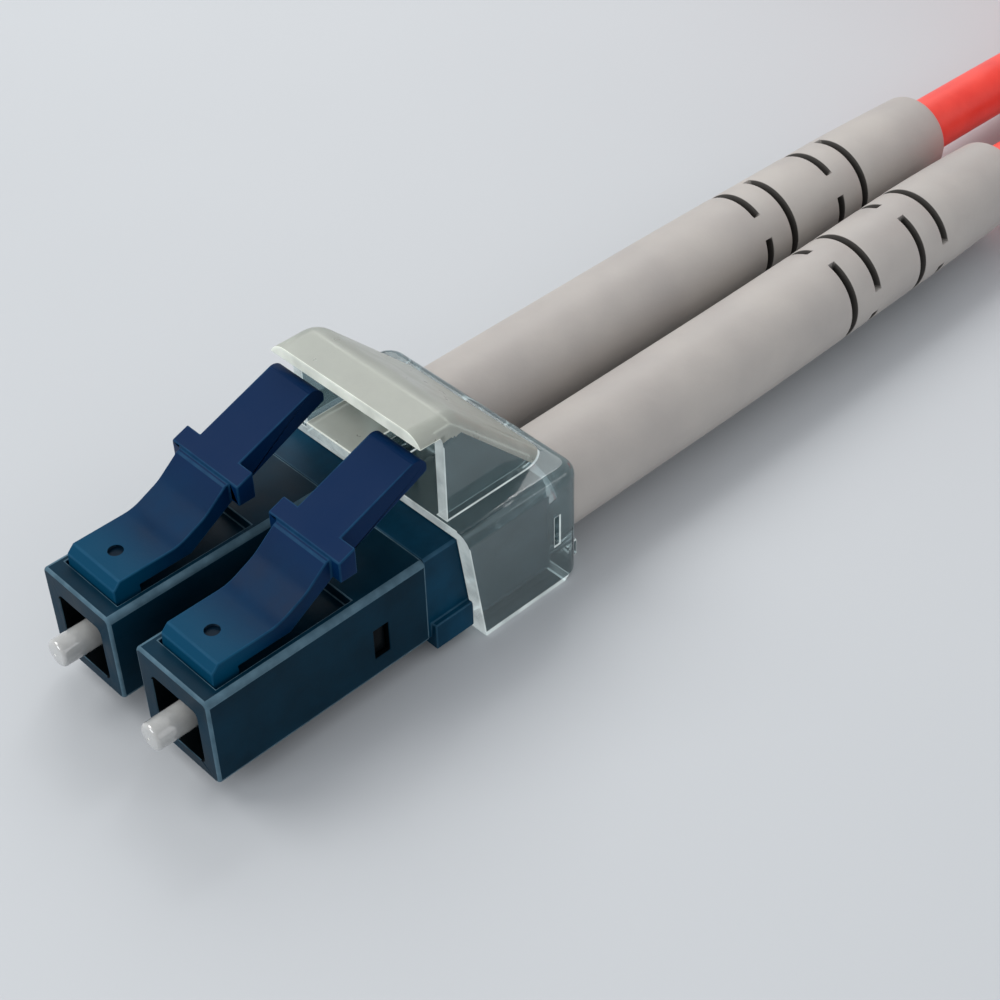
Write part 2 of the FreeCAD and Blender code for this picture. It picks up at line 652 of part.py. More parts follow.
def makeClip():
    """The clear clip: a box round both rear bodies, a hood over the latches and a tab between."""
    body = newBody("duplex_clip")
    half = size["clip_half"]
    top = size["clip_top"]
    end = size["clip_end"]
    sketch = newSketch(body, "XZ_Plane", "clip_box_side")
    drawPolygon(sketch, [
        (size["clip_x"] + size["clip_lean"], 0),
        (end - 1.1, 0),
        (end - 0.9, size["clip_step"]),
        (end, size["clip_step"]),
        (end, top),
        (size["clip_x"], top),
    ])
    pad(body, sketch, "clip_box", 2 * half, middle=True, expression="2 * sizes.clip_half")
    soften(body, "clip_rear_corners", size["clip_corner"],
           lambda p: near(p.x, end) and near(abs(p.y), half))
    soften(body, "clip_top_edges", size["clip_shoulder"],
           lambda p: near(p.z, top) and (p.x > end - 0.01 or abs(p.y) > half - 0.5))
    foot = newSketch(body, "XZ_Plane", "clip_foot_side")
    drawBox(foot, end - 0.5, end + size["lip_length"], size["clip_step"], size["lip_top"])
    pad(body, foot, "clip_foot", 2 * (half - size["clip_corner"] + 0.3), middle=True)
    hoodHalf = size["hood_half"]
    hoodX = size["hood_x"]
    hoodTop = size["hood_top"]
    wall = size["hood_wall"]
    browEnd = size["clip_x"] + 0.05
    flatEnd = hoodX + size["hood_flat"]
    footX = end - 0.75
    footZ = top + 0.1
    slope = (hoodTop - footZ) / (footX - flatEnd)
    sketch = newSketch(body, "XZ_Plane", "clip_hood_side")
    drawPolygon(sketch, [
        (browEnd, top - 0.3),
        (end - 1.2, top - 0.3),
        (end - 0.6, top - 0.5),
        (footX, footZ),
        (flatEnd, hoodTop),
        (hoodX, hoodTop),
        (hoodX, hoodTop - wall),
        (browEnd, hoodTop - wall),
    ])
    pad(body, sketch, "clip_hood", 2 * hoodHalf, middle=True, expression="2 * sizes.hood_half")
    soften(body, "clip_hood_bend", size["hood_bend"],
           lambda p: near(p.x, flatEnd) and near(p.z, hoodTop))

    def onRoof(point):
        """True along the outside of the roof, from its front down to its foot."""
        straight = min(hoodTop, hoodTop - slope * (point.x - flatEnd))
        return point.z > straight - 0.25 and point.z > top + 0.05

    soften(body, "clip_hood_shoulders", 1.0, lambda p: near(abs(p.y), hoodHalf) and onRoof(p))
    # the hood's inside, open to the front for the levers
    inner = wall * (math.sqrt(1 + slope ** 2) - 1) / slope
    roofLow = hoodTop - wall
    sketch = newSketch(body, "XZ_Plane", "clip_mouth_side")
    drawPolygon(sketch, [
        (hoodX - 0.5, top),
        (flatEnd - inner + (roofLow - top) / slope, top),
        (flatEnd - inner, roofLow),
        (hoodX - 0.5, roofLow),
    ])
    cut(body, sketch, "clip_mouth", 2 * (hoodHalf - wall), middle=True,
        expression="2 * (sizes.hood_half - sizes.hood_wall)")
    # the tab between the levers, on a web
    sketch = newSketch(body, "XZ_Plane", "clip_tab_side")
    drawBox(sketch, size["tab_x"], flatEnd + 0.8, size["tab_top"] - size["tab_thick"],
            size["tab_top"])
    pad(body, sketch, "clip_tab", 2 * size["tab_half"], middle=True,
        expression="2 * sizes.tab_half")
    sketch = newSketch(body, "XZ_Plane", "clip_web_side")
    drawBox(sketch, size["clip_x"] + 0.4, flatEnd + 1.2, top - 0.2, size["tab_top"] - 0.1)
    pad(body, sketch, "clip_web", 2 * size["web_half"], middle=True,
        expression="2 * sizes.web_half")
    # nests for the two rear bodies, bores for the two boots
    gap = size["nest_gap"]
    low = size["axis_z"] - size["frame_below"] - gap
    high = size["axis_z"] + size["frame_above"] + gap
    for side, sign in sides.items():
        middle = sign * size["half_pitch"]
        sketch = newSketch(body, "YZ_Plane", "clip_nest_" + side, offset=size["clip_x"] - 1)
        drawBox(sketch, middle - size["nest_half"], middle + size["nest_half"], low, high)
        cut(body, sketch, "clip_nest_cut_" + side, size["block_end"] + gap - size["clip_x"] + 1,
            reverse=True)
        sketch = newSketch(body, "YZ_Plane", "clip_bore_" + side, offset=size["block_end"])
        bind(sketch, "AttachmentOffset.Base.z", "sizes.block_end")
        drawCircle(sketch, middle, size["axis_z"], size["clip_bore"], "clip_bore")
        cut(body, sketch, "clip_bore_cut_" + side, size["clip_end"], reverse=True)
        # a short slot in the side wall near the rear
        sketch = newSketch(body, "XZ_Plane", "clip_slot_" + side, offset=-sign * half)
        drawBox(sketch, end - 1.75, end - 1.45, 2.45, 4.05)
        cut(body, sketch, "clip_slot_cut_" + side, 0.35, reverse=(sign > 0))
    placeAlong(body)
    return body


def roundedWire(points):
    """Straight runs joined by tangent arcs, as large as the shorter run at each corner allows."""
    vectors = [FreeCAD.Vector(*point) for point in points]
    edges = []
    radii = []
    start = vectors[0]
    for i in range(1, len(vectors) - 1):
        before = vectors[i - 1] - vectors[i]
        after = vectors[i + 1] - vectors[i]
        shorter = min(before.Length, after.Length)
        inward = FreeCAD.Vector(before).normalize()
        outward = FreeCAD.Vector(after).normalize()
        turn = math.pi - inward.getAngle(outward)
        reach = 0.45 * shorter
        radii.append(reach / math.tan(turn / 2))
        first = vectors[i] + inward * reach
        last = vectors[i] + outward * reach
        bisector = (inward + outward).normalize()
        centre = vectors[i] + bisector * (radii[-1] / math.cos(turn / 2))
        middle = centre - bisector * radii[-1]
        edges.append(Part.makeLine(start, first))
        edges.append(Part.Arc(first, middle, last).toShape())
        start = last
    edges.append(Part.makeLine(start, vectors[-1]))
    return Part.Wire(edges), radii


def cordRoute(side):
    """The cord from the crimp through the boot and down to the surface, as far as the hank."""
    sign = sides[side]
    y = sign * size["half_pitch"]
    radius = size["cord_radius"]
    nearEnd = size["hank_x"] - size["hank_bend"] - 3 * radius - 0.1
    return [
        (size["cord_start"], y, size["axis_z"]),
        (size["boot_end"] + 5, y, size["axis_z"]),
        (nearEnd, y + sign * 0.4, radius + 0.05),
    ]


def makeCord(side):
    feature = doc.addObject("Part::Feature", "cord_" + side)
    feature.Label = "cord_" + side
    path, radii = roundedWire(cordRoute(side))
    start = FreeCAD.Vector(*cordRoute(side)[0])
    section = Part.Wire(Part.makeCircle(size["cord_radius"], start, axisX))
    shape = path.makePipeShell([section], True, True)
    if shape.Volume < 0:
        shape.reverse()
    expected = math.pi * size["cord_radius"] ** 2 * path.Length
    print("cord", side, "length", round(path.Length, 2), "radii", [round(r, 1) for r in radii],
          "volume share", round(shape.Volume / expected, 4))
    feature.Shape = shape
    placeAlong(feature)
    exported.append(feature)
    return feature


def racetrack(sketch, x0, x1, radius):
    """A long round-ended outline about the X axis."""
    first = sketch.GeometryCount
    up = FreeCAD.Vector(0, 0, 1)
    quarter = math.pi / 2
    sketch.addGeometry(Part.LineSegment(FreeCAD.Vector(x0, -radius, 0), FreeCAD.Vector(x1, -radius, 0)))
    sketch.addGeometry(Part.ArcOfCircle(Part.Circle(FreeCAD.Vector(x1, 0, 0), up, radius),
                                        -quarter, quarter))
    sketch.addGeometry(Part.LineSegment(FreeCAD.Vector(x1, radius, 0), FreeCAD.Vector(x0, radius, 0)))
    sketch.addGeometry(Part.ArcOfCircle(Part.Circle(FreeCAD.Vector(x0, 0, 0), up, radius),
                                        quarter, 3 * quarter))
    for a, b in [(0, 1), (1, 2), (2, 3), (3, 0)]:
        sketch.addConstraint(Sketcher.Constraint("Tangent", first + a, 2, first + b, 1))
    sketch.addConstraint(Sketcher.Constraint("Horizontal", first))
    sketch.addConstraint(Sketcher.Constraint("Radius", first + 1, radius))
    sketch.addConstraint(Sketcher.Constraint("DistanceX", -1, 1, first + 1, 3, x1))
    sketch.addConstraint(Sketcher.Constraint("DistanceX", -1, 1, first + 3, 3, x0))
    sketch.addConstraint(Sketcher.Constraint("DistanceY", -1, 1, first + 1, 3, 0))


def makeHank(side):
    """One winding of the put-away cord, as a closed ring of its outer shape."""
    body = newBody("hank_" + side)
    radius = size["cord_radius"]
    bend = size["hank_bend"] + (0 if side == "left" else 2 * radius + 0.1)
    x0 = size["hank_x"]
    x1 = x0 + size["hank_run"]
    sketch = newSketch(body, "XY_Plane", "hank_%s_outline" % side)
    racetrack(sketch, x0, x1, bend + radius)
    racetrack(sketch, x0, x1, bend - radius)
    pad(body, sketch, "hank_%s_ring" % side, size["hank_height"], expression="sizes.hank_height")
    for name, level in (("top", size["hank_height"]), ("low", 0)):
        soften(body, "hank_%s_%s_edges" % (side, name), size["hank_chamfer"],
               lambda p: near(p.z, level), "PartDesign::Chamfer")
    # the tie passes under the winding
    middle = size["hank_x"] + size["hank_run"] / 2
    width = size["tie_width"] / 2 + 4 * size["tie_gap"]
    sketch = newSketch(body, "XY_Plane", "hank_%s_groove" % side)
    drawBox(sketch, middle - width, middle + width, -bend - 2 * radius, bend + 2 * radius)
    cut(body, sketch, "hank_%s_groove_cut" % side, size["tie_thick"] + 2 * size["tie_gap"],
        reverse=True)
    placeAlong(body)
    return body


def roundedOutline(sketch, half, low, high, corner, foot):
    """An outline about the Z axis, its top corners rounded by corner and its lower ones by foot."""
    first = sketch.GeometryCount
    up = FreeCAD.Vector(0, 0, 1)
    quarter = math.pi / 2
    corners = [(half - foot, low + foot, foot, -quarter), (half - corner, high - corner, corner, 0),
               (corner - half, high - corner, corner, quarter),
               (foot - half, low + foot, foot, 2 * quarter)]
    for number, (y, z, radius, start) in enumerate(corners):
        circle = Part.Circle(FreeCAD.Vector(y, z, 0), up, radius)
        sketch.addGeometry(Part.ArcOfCircle(circle, start, start + quarter))
        end = FreeCAD.Vector(y + radius * math.cos(start + quarter),
                             z + radius * math.sin(start + quarter), 0)
        y, z, radius, start = corners[(number + 1) % 4]
        begin = FreeCAD.Vector(y + radius * math.cos(start), z + radius * math.sin(start), 0)
        sketch.addGeometry(Part.LineSegment(end, begin))
    for number in range(8):
        sketch.addConstraint(Sketcher.Constraint("Tangent", first + number, 2,
                                                 first + (number + 1) % 8, 1))
    for number, (y, z, radius, start) in enumerate(corners):
        arc = first + 2 * number
        sketch.addConstraint(Sketcher.Constraint("DistanceX", -1, 1, arc, 3, y))
        sketch.addConstraint(Sketcher.Constraint("DistanceY", -1, 1, arc, 3, z))
    sketch.addConstraint(Sketcher.Constraint("Radius", first, foot))
    sketch.addConstraint(Sketcher.Constraint("Radius", first + 2, corner))


def makeTie():
    """The tie: a flat band right round the middle of the hank."""
    body = newBody("hank_tie")
    gap = size["tie_gap"]
    thick = size["tie_thick"]
    half = size["hank_bend"] + 3 * size["cord_radius"] + 0.1 + gap
    high = size["hank_height"] + gap
    corner = size["hank_chamfer"] + 6 * gap
    middle = size["hank_x"] + size["hank_run"] / 2
    start = middle - size["tie_width"] / 2
    sketch = newSketch(body, "YZ_Plane", "tie_section", offset=start)
    roundedOutline(sketch, half + thick, gap, high + thick, corner + thick, thick + gap)
    pad(body, sketch, "tie_block", size["tie_width"], expression="sizes.tie_width")
    sketch = newSketch(body, "YZ_Plane", "tie_inside", offset=start)
    roundedOutline(sketch, half, gap + thick, high, corner, gap)
    cut(body, sketch, "tie_hollow", size["tie_width"], reverse=True,
        expression="sizes.tie_width")
    placeAlong(body)
    return body


# how far each boot is rolled about its cord, in degrees
slitRolls = {"left": 138.5, "right": 90.5}
for side in sides:
    makeFrame(side)
    makeLatch(side)
    makeRearBody(side)
    makeRound("ferrule", side, ferruleOutline())
    makeRound("flange", side, flangeOutline())
    makeRound("fibre", side, fibreOutline())
    makeRound("crimp_ring", side, crimpOutline())
    makeSpring(side)
    makeBoot(side, slitRolls[side])
    makeCord(side)
    makeHank(side)
makeClip()
makeTie()
doc.recompute()

# every feature is checked before any file is written
for item in doc.Objects:
    if any(word in ("Invalid", "Error") for word in item.State):
        raise RuntimeError("%s is in error: %s" % (item.Label, item.State))
for item in exported:
    if item.Shape.isNull() or not item.Shape.isValid():
        raise RuntimeError("%s has a bad shape" % item.Label)

os.makedirs("parts", exist_ok=True)
for item in exported:
    item.Shape.exportStep("parts/%s.step" % item.Label)
    box = item.Shape.BoundBox
    print(item.Label, len(item.Shape.Solids), "solid", round(item.Shape.Volume, 3), "mm3",
          [round(v, 2) for v in (box.XMin, box.XMax, box.YMin, box.YMax, box.ZMin, box.ZMax)])
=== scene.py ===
import math

import bmesh
import bpy
from mathutils import Matrix, Vector


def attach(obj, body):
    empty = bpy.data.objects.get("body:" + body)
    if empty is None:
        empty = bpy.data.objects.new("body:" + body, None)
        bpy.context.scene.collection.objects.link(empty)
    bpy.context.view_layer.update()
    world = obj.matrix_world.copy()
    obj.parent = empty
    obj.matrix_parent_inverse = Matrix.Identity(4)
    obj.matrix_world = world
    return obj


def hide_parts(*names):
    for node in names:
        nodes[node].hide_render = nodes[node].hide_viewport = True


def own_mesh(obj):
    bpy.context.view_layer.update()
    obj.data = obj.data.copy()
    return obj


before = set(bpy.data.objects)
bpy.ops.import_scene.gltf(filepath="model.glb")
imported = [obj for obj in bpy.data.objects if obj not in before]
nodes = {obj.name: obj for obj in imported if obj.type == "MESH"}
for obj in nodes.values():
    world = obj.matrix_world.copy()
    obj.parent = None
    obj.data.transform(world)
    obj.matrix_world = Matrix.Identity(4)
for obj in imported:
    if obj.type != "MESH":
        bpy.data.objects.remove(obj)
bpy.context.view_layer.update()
sides = {"left": 1, "right": -1}
mm = 0.001
plugPitch = 6.25  # between the two plugs' axes
axisHeight = 3.05
plugCentres = [sign * plugPitch / 2 for sign in sides.values()]
print("frame loaded:", len(nodes), "nodes")


camera = {"place": (-51.23, -48.49, 58.46), "target": (-8.744, -2.744, 3.0),
          "roll": -1.6226, "lens": 69.633, "sensor": 36.0}


def makeCamera():
    data = bpy.data.cameras.new("viewCamera")
    data.lens = camera["lens"]
    data.sensor_width = camera["sensor"]
    data.clip_start = 0.005
    data.clip_end = 10
    item = bpy.data.objects.new("viewCamera", data)
    bpy.context.scene.collection.objects.link(item)
    place = Vector(camera["place"]) * mm
    look = (Vector(camera["target"]) * mm - place).normalized()
    turn = look.to_track_quat("-Z", "Y").to_matrix().to_4x4()
    roll = Matrix.Rotation(math.radians(camera["roll"]), 4, "Z")
    item.matrix_world = Matrix.Translation(place) @ turn @ roll
    bpy.context.scene.camera = item


def makeLight(name, place, target, width, watts, colour):
    data = bpy.data.lights.new(name, "AREA")
    data.shape = "DISK"
    data.size = width * mm
    data.energy = watts
    data.color = colour
    item = bpy.data.objects.new(name, data)
    bpy.context.scene.collection.objects.link(item)
    item.location = Vector(place) * mm
    look = (Vector(target) - Vector(place)).normalized()
    item.rotation_euler = look.to_track_quat("-Z", "Y").to_euler()


lights = {
    "keyLight": {"place": (-105, 140, 215), "target": (0, 0, 0), "width": 170, "watts": 0.30,
                 "colour": (1.0, 0.985, 0.965)},
    "roofLight": {"place": (150, 170, 205), "target": (-12, 0, 8), "width": 200, "watts": 0.25,
                  "colour": (1.0, 0.995, 0.98)},
    "noseLight": {"place": (-220, 30, 120), "target": (-20, 0, 4), "width": 120, "watts": 0.14,
                  "colour": (0.96, 0.98, 1.0)},
    "rimLight": {"place": (190, -215, 165), "target": (-12, 0, 4), "width": 90, "watts": 0.05,
                 "colour": (0.97, 0.985, 1.0)},
    "glintLight": {"place": (150, 120, 235), "target": (-20, 0, 4), "width": 36, "watts": 0.035,
                   "colour": (1.0, 1.0, 1.0)},
    "sideFill": {"place": (40, -240, 110), "target": (0, 0, 4), "width": 180, "watts": 0.05,
                 "colour": (0.95, 0.97, 1.0)},
}
room = {"colour": (0.84, 0.85, 0.87), "strength": 0.70}


def makeStudio():
    scene = bpy.context.scene
    scene.view_settings.view_transform = "Standard"
    world = bpy.data.worlds.new("softRoom")
    scene.world = world
    world.use_nodes = True
    inputs = world.node_tree.nodes["Background"].inputs
    inputs["Color"].default_value = room["colour"] + (1,)
    inputs["Strength"].default_value = room["strength"]
    for name, light in lights.items():
        makeLight(name, **light)


makeCamera()
makeStudio()
print("camera and lights placed")


def linear(colour):
    # screen colour to the renderer's own
    return tuple(c / 12.92 if c <= 0.04045 else ((c + 0.055) / 1.055) ** 2.4 for c in colour) + (1.0,)


def newGroup(name, inputs, outputs):
    group = bpy.data.node_groups.new(name, "ShaderNodeTree")
    for label, kind, value in inputs:
        socket = group.interface.new_socket(label, in_out="INPUT", socket_type=kind)
        if value is not None:
            socket.default_value = value
    for label, kind in outputs:
        group.interface.new_socket(label, in_out="OUTPUT", socket_type=kind)
    source = group.nodes.new("NodeGroupInput")
    sink = group.nodes.new("NodeGroupOutput")
    return group, source, sink


def addNode(tree, kind, values=None, **props):
    node = tree.nodes.new(kind)
    for key, value in props.items():
        setattr(node, key, value)
    for key, value in (values or {}).items():
        node.inputs[key].default_value = value
    return node


def placeGroup(tree, group, values):
    node = tree.nodes.new("ShaderNodeGroup")
    node.node_tree = group
    for key, value in values.items():
        node.inputs[key].default_value = value
    return node


def newMaterial(name):
    material = bpy.data.materials.new(name)
    material.use_nodes = True
    tree = material.node_tree
    shader = tree.nodes["Principled BSDF"]
    return material, tree, shader


def makeGrainGroup():
    # fine moulded grain: a height for the bump and a slow mask for colour
    group, source, sink = newGroup("mouldedGrain", [
        ("Fine Scale", "NodeSocketFloat", 9000.0),
        ("Slow Scale", "NodeSocketFloat", 500.0),
        ("Fine Share", "NodeSocketFloat", 0.6),
    ], [("Height", "NodeSocketFloat"), ("Mask", "NodeSocketFloat")])
    place = addNode(group, "ShaderNodeTexCoord")
    fine = addNode(group, "ShaderNodeTexNoise", {"Detail": 3.0, "Roughness": 0.6})
    slow = addNode(group, "ShaderNodeTexNoise", {"Detail": 4.0, "Roughness": 0.55})
    for noiseNode, scale in ((fine, "Fine Scale"), (slow, "Slow Scale")):
        group.links.new(place.outputs["Object"], noiseNode.inputs["Vector"])
        group.links.new(source.outputs[scale], noiseNode.inputs["Scale"])
    mix = addNode(group, "ShaderNodeMix")
    group.links.new(source.outputs["Fine Share"], mix.inputs["Factor"])
    group.links.new(slow.outputs["Fac"], mix.inputs["A"])
    group.links.new(fine.outputs["Fac"], mix.inputs["B"])
    group.links.new(mix.outputs["Result"], sink.inputs["Height"])
    group.links.new(slow.outputs["Fac"], sink.inputs["Mask"])
    return group


def makePaintedEdgeGroup():
    # painted edge light: a mask from the rounded edges that the mesh marks, broken up by noise, for
    # painted highlights and painted glow
    group, source, sink = newGroup("paintedEdgeLight", [
        ("Amount", "NodeSocketFloat", 0.5),
        ("Breakup", "NodeSocketFloat", 0.4),
        ("Scale", "NodeSocketFloat", 1500.0),
    ], [("Mask", "NodeSocketFloat")])
    mark = addNode(group, "ShaderNodeAttribute", attribute_name="edge")
    place = addNode(group, "ShaderNodeTexCoord")
    patches = addNode(group, "ShaderNodeTexNoise", {"Detail": 3.0})
    group.links.new(place.outputs["Object"], patches.inputs["Vector"])
    group.links.new(source.outputs["Scale"], patches.inputs["Scale"])
    keep = addNode(group, "ShaderNodeMapRange", {"From Min": 0.35, "From Max": 0.65})
    group.links.new(patches.outputs["Fac"], keep.inputs["Value"])
    drop = addNode(group, "ShaderNodeMath", operation="MULTIPLY")
    group.links.new(keep.outputs["Result"], drop.inputs[0])
    group.links.new(source.outputs["Breakup"], drop.inputs[1])
    rest = addNode(group, "ShaderNodeMath", {0: 1.0}, operation="SUBTRACT")
    group.links.new(drop.outputs["Value"], rest.inputs[1])
    # the painted light, thinned where the noise breaks it up
    highlightMask = addNode(group, "ShaderNodeMath", operation="MULTIPLY")
    group.links.new(mark.outputs["Fac"], highlightMask.inputs[0])
    group.links.new(rest.outputs["Value"], highlightMask.inputs[1])
    total = addNode(group, "ShaderNodeMath", operation="MULTIPLY", use_clamp=True)
    group.links.new(highlightMask.outputs["Value"], total.inputs[0])
    group.links.new(source.outputs["Amount"], total.inputs[1])
    group.links.new(total.outputs["Value"], sink.inputs["Mask"])
    return group


def makeDrawnGroup():
    # lines drawn out along the piece, as on an extruded jacket or drawn wire
    group, source, sink = newGroup("drawnLines", [
        ("Along", "NodeSocketFloat", 60.0),
        ("Across", "NodeSocketFloat", 2500.0),
    ], [("Height", "NodeSocketFloat"), ("Mask", "NodeSocketFloat")])
    place = addNode(group, "ShaderNodeTexCoord")
    size = addNode(group, "ShaderNodeCombineXYZ")
    for axis, label in (("X", "Along"), ("Y", "Across"), ("Z", "Across")):
        group.links.new(source.outputs[label], size.inputs[axis])
    stretch = addNode(group, "ShaderNodeVectorMath", operation="MULTIPLY")
    group.links.new(place.outputs["Object"], stretch.inputs[0])
    group.links.new(size.outputs["Vector"], stretch.inputs[1])
    lines = addNode(group, "ShaderNodeTexNoise", {"Scale": 1.0, "Detail": 2.0})
    patches = addNode(group, "ShaderNodeTexNoise", {"Scale": 260.0, "Detail": 3.0})
    group.links.new(stretch.outputs["Vector"], lines.inputs["Vector"])
    group.links.new(place.outputs["Object"], patches.inputs["Vector"])
    group.links.new(lines.outputs["Fac"], sink.inputs["Height"])
    group.links.new(patches.outputs["Fac"], sink.inputs["Mask"])
    return group


def makeAlongGroup():
    # how far along the object a place lies, from 0 at the start to 1 at the end
    group, source, sink = newGroup("alongPiece", [
        ("Start", "NodeSocketFloat", 0.0),
        ("End", "NodeSocketFloat", 0.01),
    ], [("Mask", "NodeSocketFloat")])
    place = addNode(group, "ShaderNodeTexCoord")
    parts = addNode(group, "ShaderNodeSeparateXYZ")
    share = addNode(group, "ShaderNodeMapRange", interpolation_type="SMOOTHSTEP")
    group.links.new(place.outputs["Object"], parts.inputs["Vector"])
    group.links.new(parts.outputs["X"], share.inputs["Value"])
    group.links.new(source.outputs["Start"], share.inputs["From Min"])
    group.links.new(source.outputs["End"], share.inputs["From Max"])
    group.links.new(share.outputs["Result"], sink.inputs["Mask"])
    return group


grainGroup = makeGrainGroup()
paintedEdgeGroup = makePaintedEdgeGroup()
drawnGroup = makeDrawnGroup()
alongGroup = makeAlongGroup()


def colourBetween(tree, mask, first, second, low=0.35, high=0.65):
    # first colour to second colour as the mask rises
    spread = addNode(tree, "ShaderNodeMapRange", {"From Min": low, "From Max": high})
    tree.links.new(mask, spread.inputs["Value"])
    mix = addNode(tree, "ShaderNodeMix", data_type="RGBA")
    mix.inputs["A"].default_value = first
    mix.inputs["B"].default_value = second
    tree.links.new(spread.outputs["Result"], mix.inputs["Factor"])
    return mix.outputs["Result"]


def addBump(tree, shader, height, strength, distance):
    bump = addNode(tree, "ShaderNodeBump", {"Strength": strength, "Distance": distance * mm})
    tree.links.new(height, bump.inputs["Height"])
    tree.links.new(bump.outputs["Normal"], shader.inputs["Normal"])


def roughnessBetween(tree, shader, mask, smooth, rough):
    spread = addNode(tree, "ShaderNodeMapRange",
                     {"From Min": 0.3, "From Max": 0.7, "To Min": smooth, "To Max": rough})
    tree.links.new(mask, spread.inputs["Value"])
    tree.links.new(spread.outputs["Result"], shader.inputs["Roughness"])


def mouldedPlastic(name, look):
    # moulded plastic: a colour that varies a little at random, fine grain, painted highlights on the
    # rounded edges, and where the look asks painted sheen and shade along the piece and painted shade
    # in hollows
    material, tree, shader = newMaterial(name)
    grain = placeGroup(tree, grainGroup, {"Fine Scale": look["fine"], "Slow Scale": look["slow"]})
    body = colourBetween(tree, grain.outputs["Mask"], linear(look["dark"]), linear(look["light"]))
    # painted sheen and shade: towards a lit or shaded colour between two places along the piece
    for colour, start, end in look.get("paintedSheenAndShade", []):  # towards a colour from start to end
        along = placeGroup(tree, alongGroup, {"Start": start * mm, "End": end * mm})
        drift = addNode(tree, "ShaderNodeMix", data_type="RGBA")
        drift.inputs["B"].default_value = linear(colour)
        tree.links.new(along.outputs["Mask"], drift.inputs["Factor"])
        tree.links.new(body, drift.inputs["A"])
        body = drift.outputs["Result"]
    # painted highlight on the rounded edges that the mesh marks
    edge = placeGroup(tree, paintedEdgeGroup, {"Amount": look.get("edge", 0.0),
                                        "Breakup": look.get("breakup", 0.0)})
    mix = addNode(tree, "ShaderNodeMix", data_type="RGBA")
    mix.inputs["B"].default_value = linear(look.get("paintedEdgeColour", look["light"]))
    tree.links.new(edge.outputs["Mask"], mix.inputs["Factor"])
    tree.links.new(body, mix.inputs["A"])
    surface = mix.outputs["Result"]
    # painted shade in the insides of slits, mouths, windows and dimples
    if "paintedShade" in look:  # the shaded insides of slits, mouths and windows, marked by the mesh
        paintedShade = addNode(tree, "ShaderNodeAttribute", attribute_name="paintedShade")
        shade = addNode(tree, "ShaderNodeMix", data_type="RGBA")
        shade.inputs["B"].default_value = linear(look["paintedShade"])
        tree.links.new(paintedShade.outputs["Fac"], shade.inputs["Factor"])
        tree.links.new(surface, shade.inputs["A"])
        surface = shade.outputs["Result"]
    tree.links.new(surface, shader.inputs["Base Color"])
    roughnessBetween(tree, shader, grain.outputs["Mask"], look["smooth"], look["rough"])
    shader.inputs["Specular IOR Level"].default_value = look["shine"]
    shader.inputs["Coat Weight"].default_value = look.get("coat", 0.0)
    shader.inputs["Coat Roughness"].default_value = 0.05
    shader.inputs["Subsurface Weight"].default_value = look.get("glow", 0.0)
    shader.inputs["Subsurface Scale"].default_value = 0.4 * mm
    shader.inputs["Subsurface Radius"].default_value = (1.0, 0.8, 0.7)
    addBump(tree, shader, grain.outputs["Height"], look["bump"], 0.02)
    return material


def metal(name, look):
    material, tree, shader = newMaterial(name)
    lines = placeGroup(tree, drawnGroup, {"Along": look["along"], "Across": look["across"]})
    body = colourBetween(tree, lines.outputs["Mask"], linear(look["dark"]), linear(look["light"]))
    tree.links.new(body, shader.inputs["Base Color"])
    shader.inputs["Metallic"].default_value = 1.0
    roughnessBetween(tree, shader, lines.outputs["Height"], look["smooth"], look["rough"])
    addBump(tree, shader, lines.outputs["Height"], look["bump"], 0.01)
    return material


meshing = {"crease": 38, "weld": 0.002, "flat": 1.5}  # degrees, millimetres, degrees


def finishMesh(name, bm, materials, body, replaced):
    # turns the built mesh into a piece that rides on its body and stands for its solids
    mesh = bpy.data.meshes.new(name)
    bm.to_mesh(mesh)
    bm.free()
    for material in materials:
        mesh.materials.append(material)
    mesh.shade_smooth()
    mesh.set_sharp_from_angle(angle=math.radians(meshing["crease"]))
    piece = bpy.data.objects.new(name, mesh)
    bpy.context.scene.collection.objects.link(piece)
    flat = piece.modifiers.new("flatFaces", "WEIGHTED_NORMAL")
    flat.keep_sharp = True
    flat.weight = 100
    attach(piece, body)
    if replaced:
        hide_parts(*replaced)
    return piece


def bridge(bm, rings):
    # faces between each closed ring of points and the next
    count = len(rings[0])
    for a, b in zip(rings, rings[1:]):
        for i in range(count):
            j = (i + 1) % count
            bm.faces.new((a[i], a[j], b[j], b[i]))


def solidCopy(node):
    # a copy of a solid with its flat faces whole
    bm = bmesh.new()
    bm.from_mesh(nodes[node].data)
    bmesh.ops.remove_doubles(bm, verts=bm.verts, dist=meshing["weld"] * mm)
    bmesh.ops.dissolve_limit(bm, angle_limit=math.radians(meshing["flat"]), verts=bm.verts,
                             edges=bm.edges)
    return bm


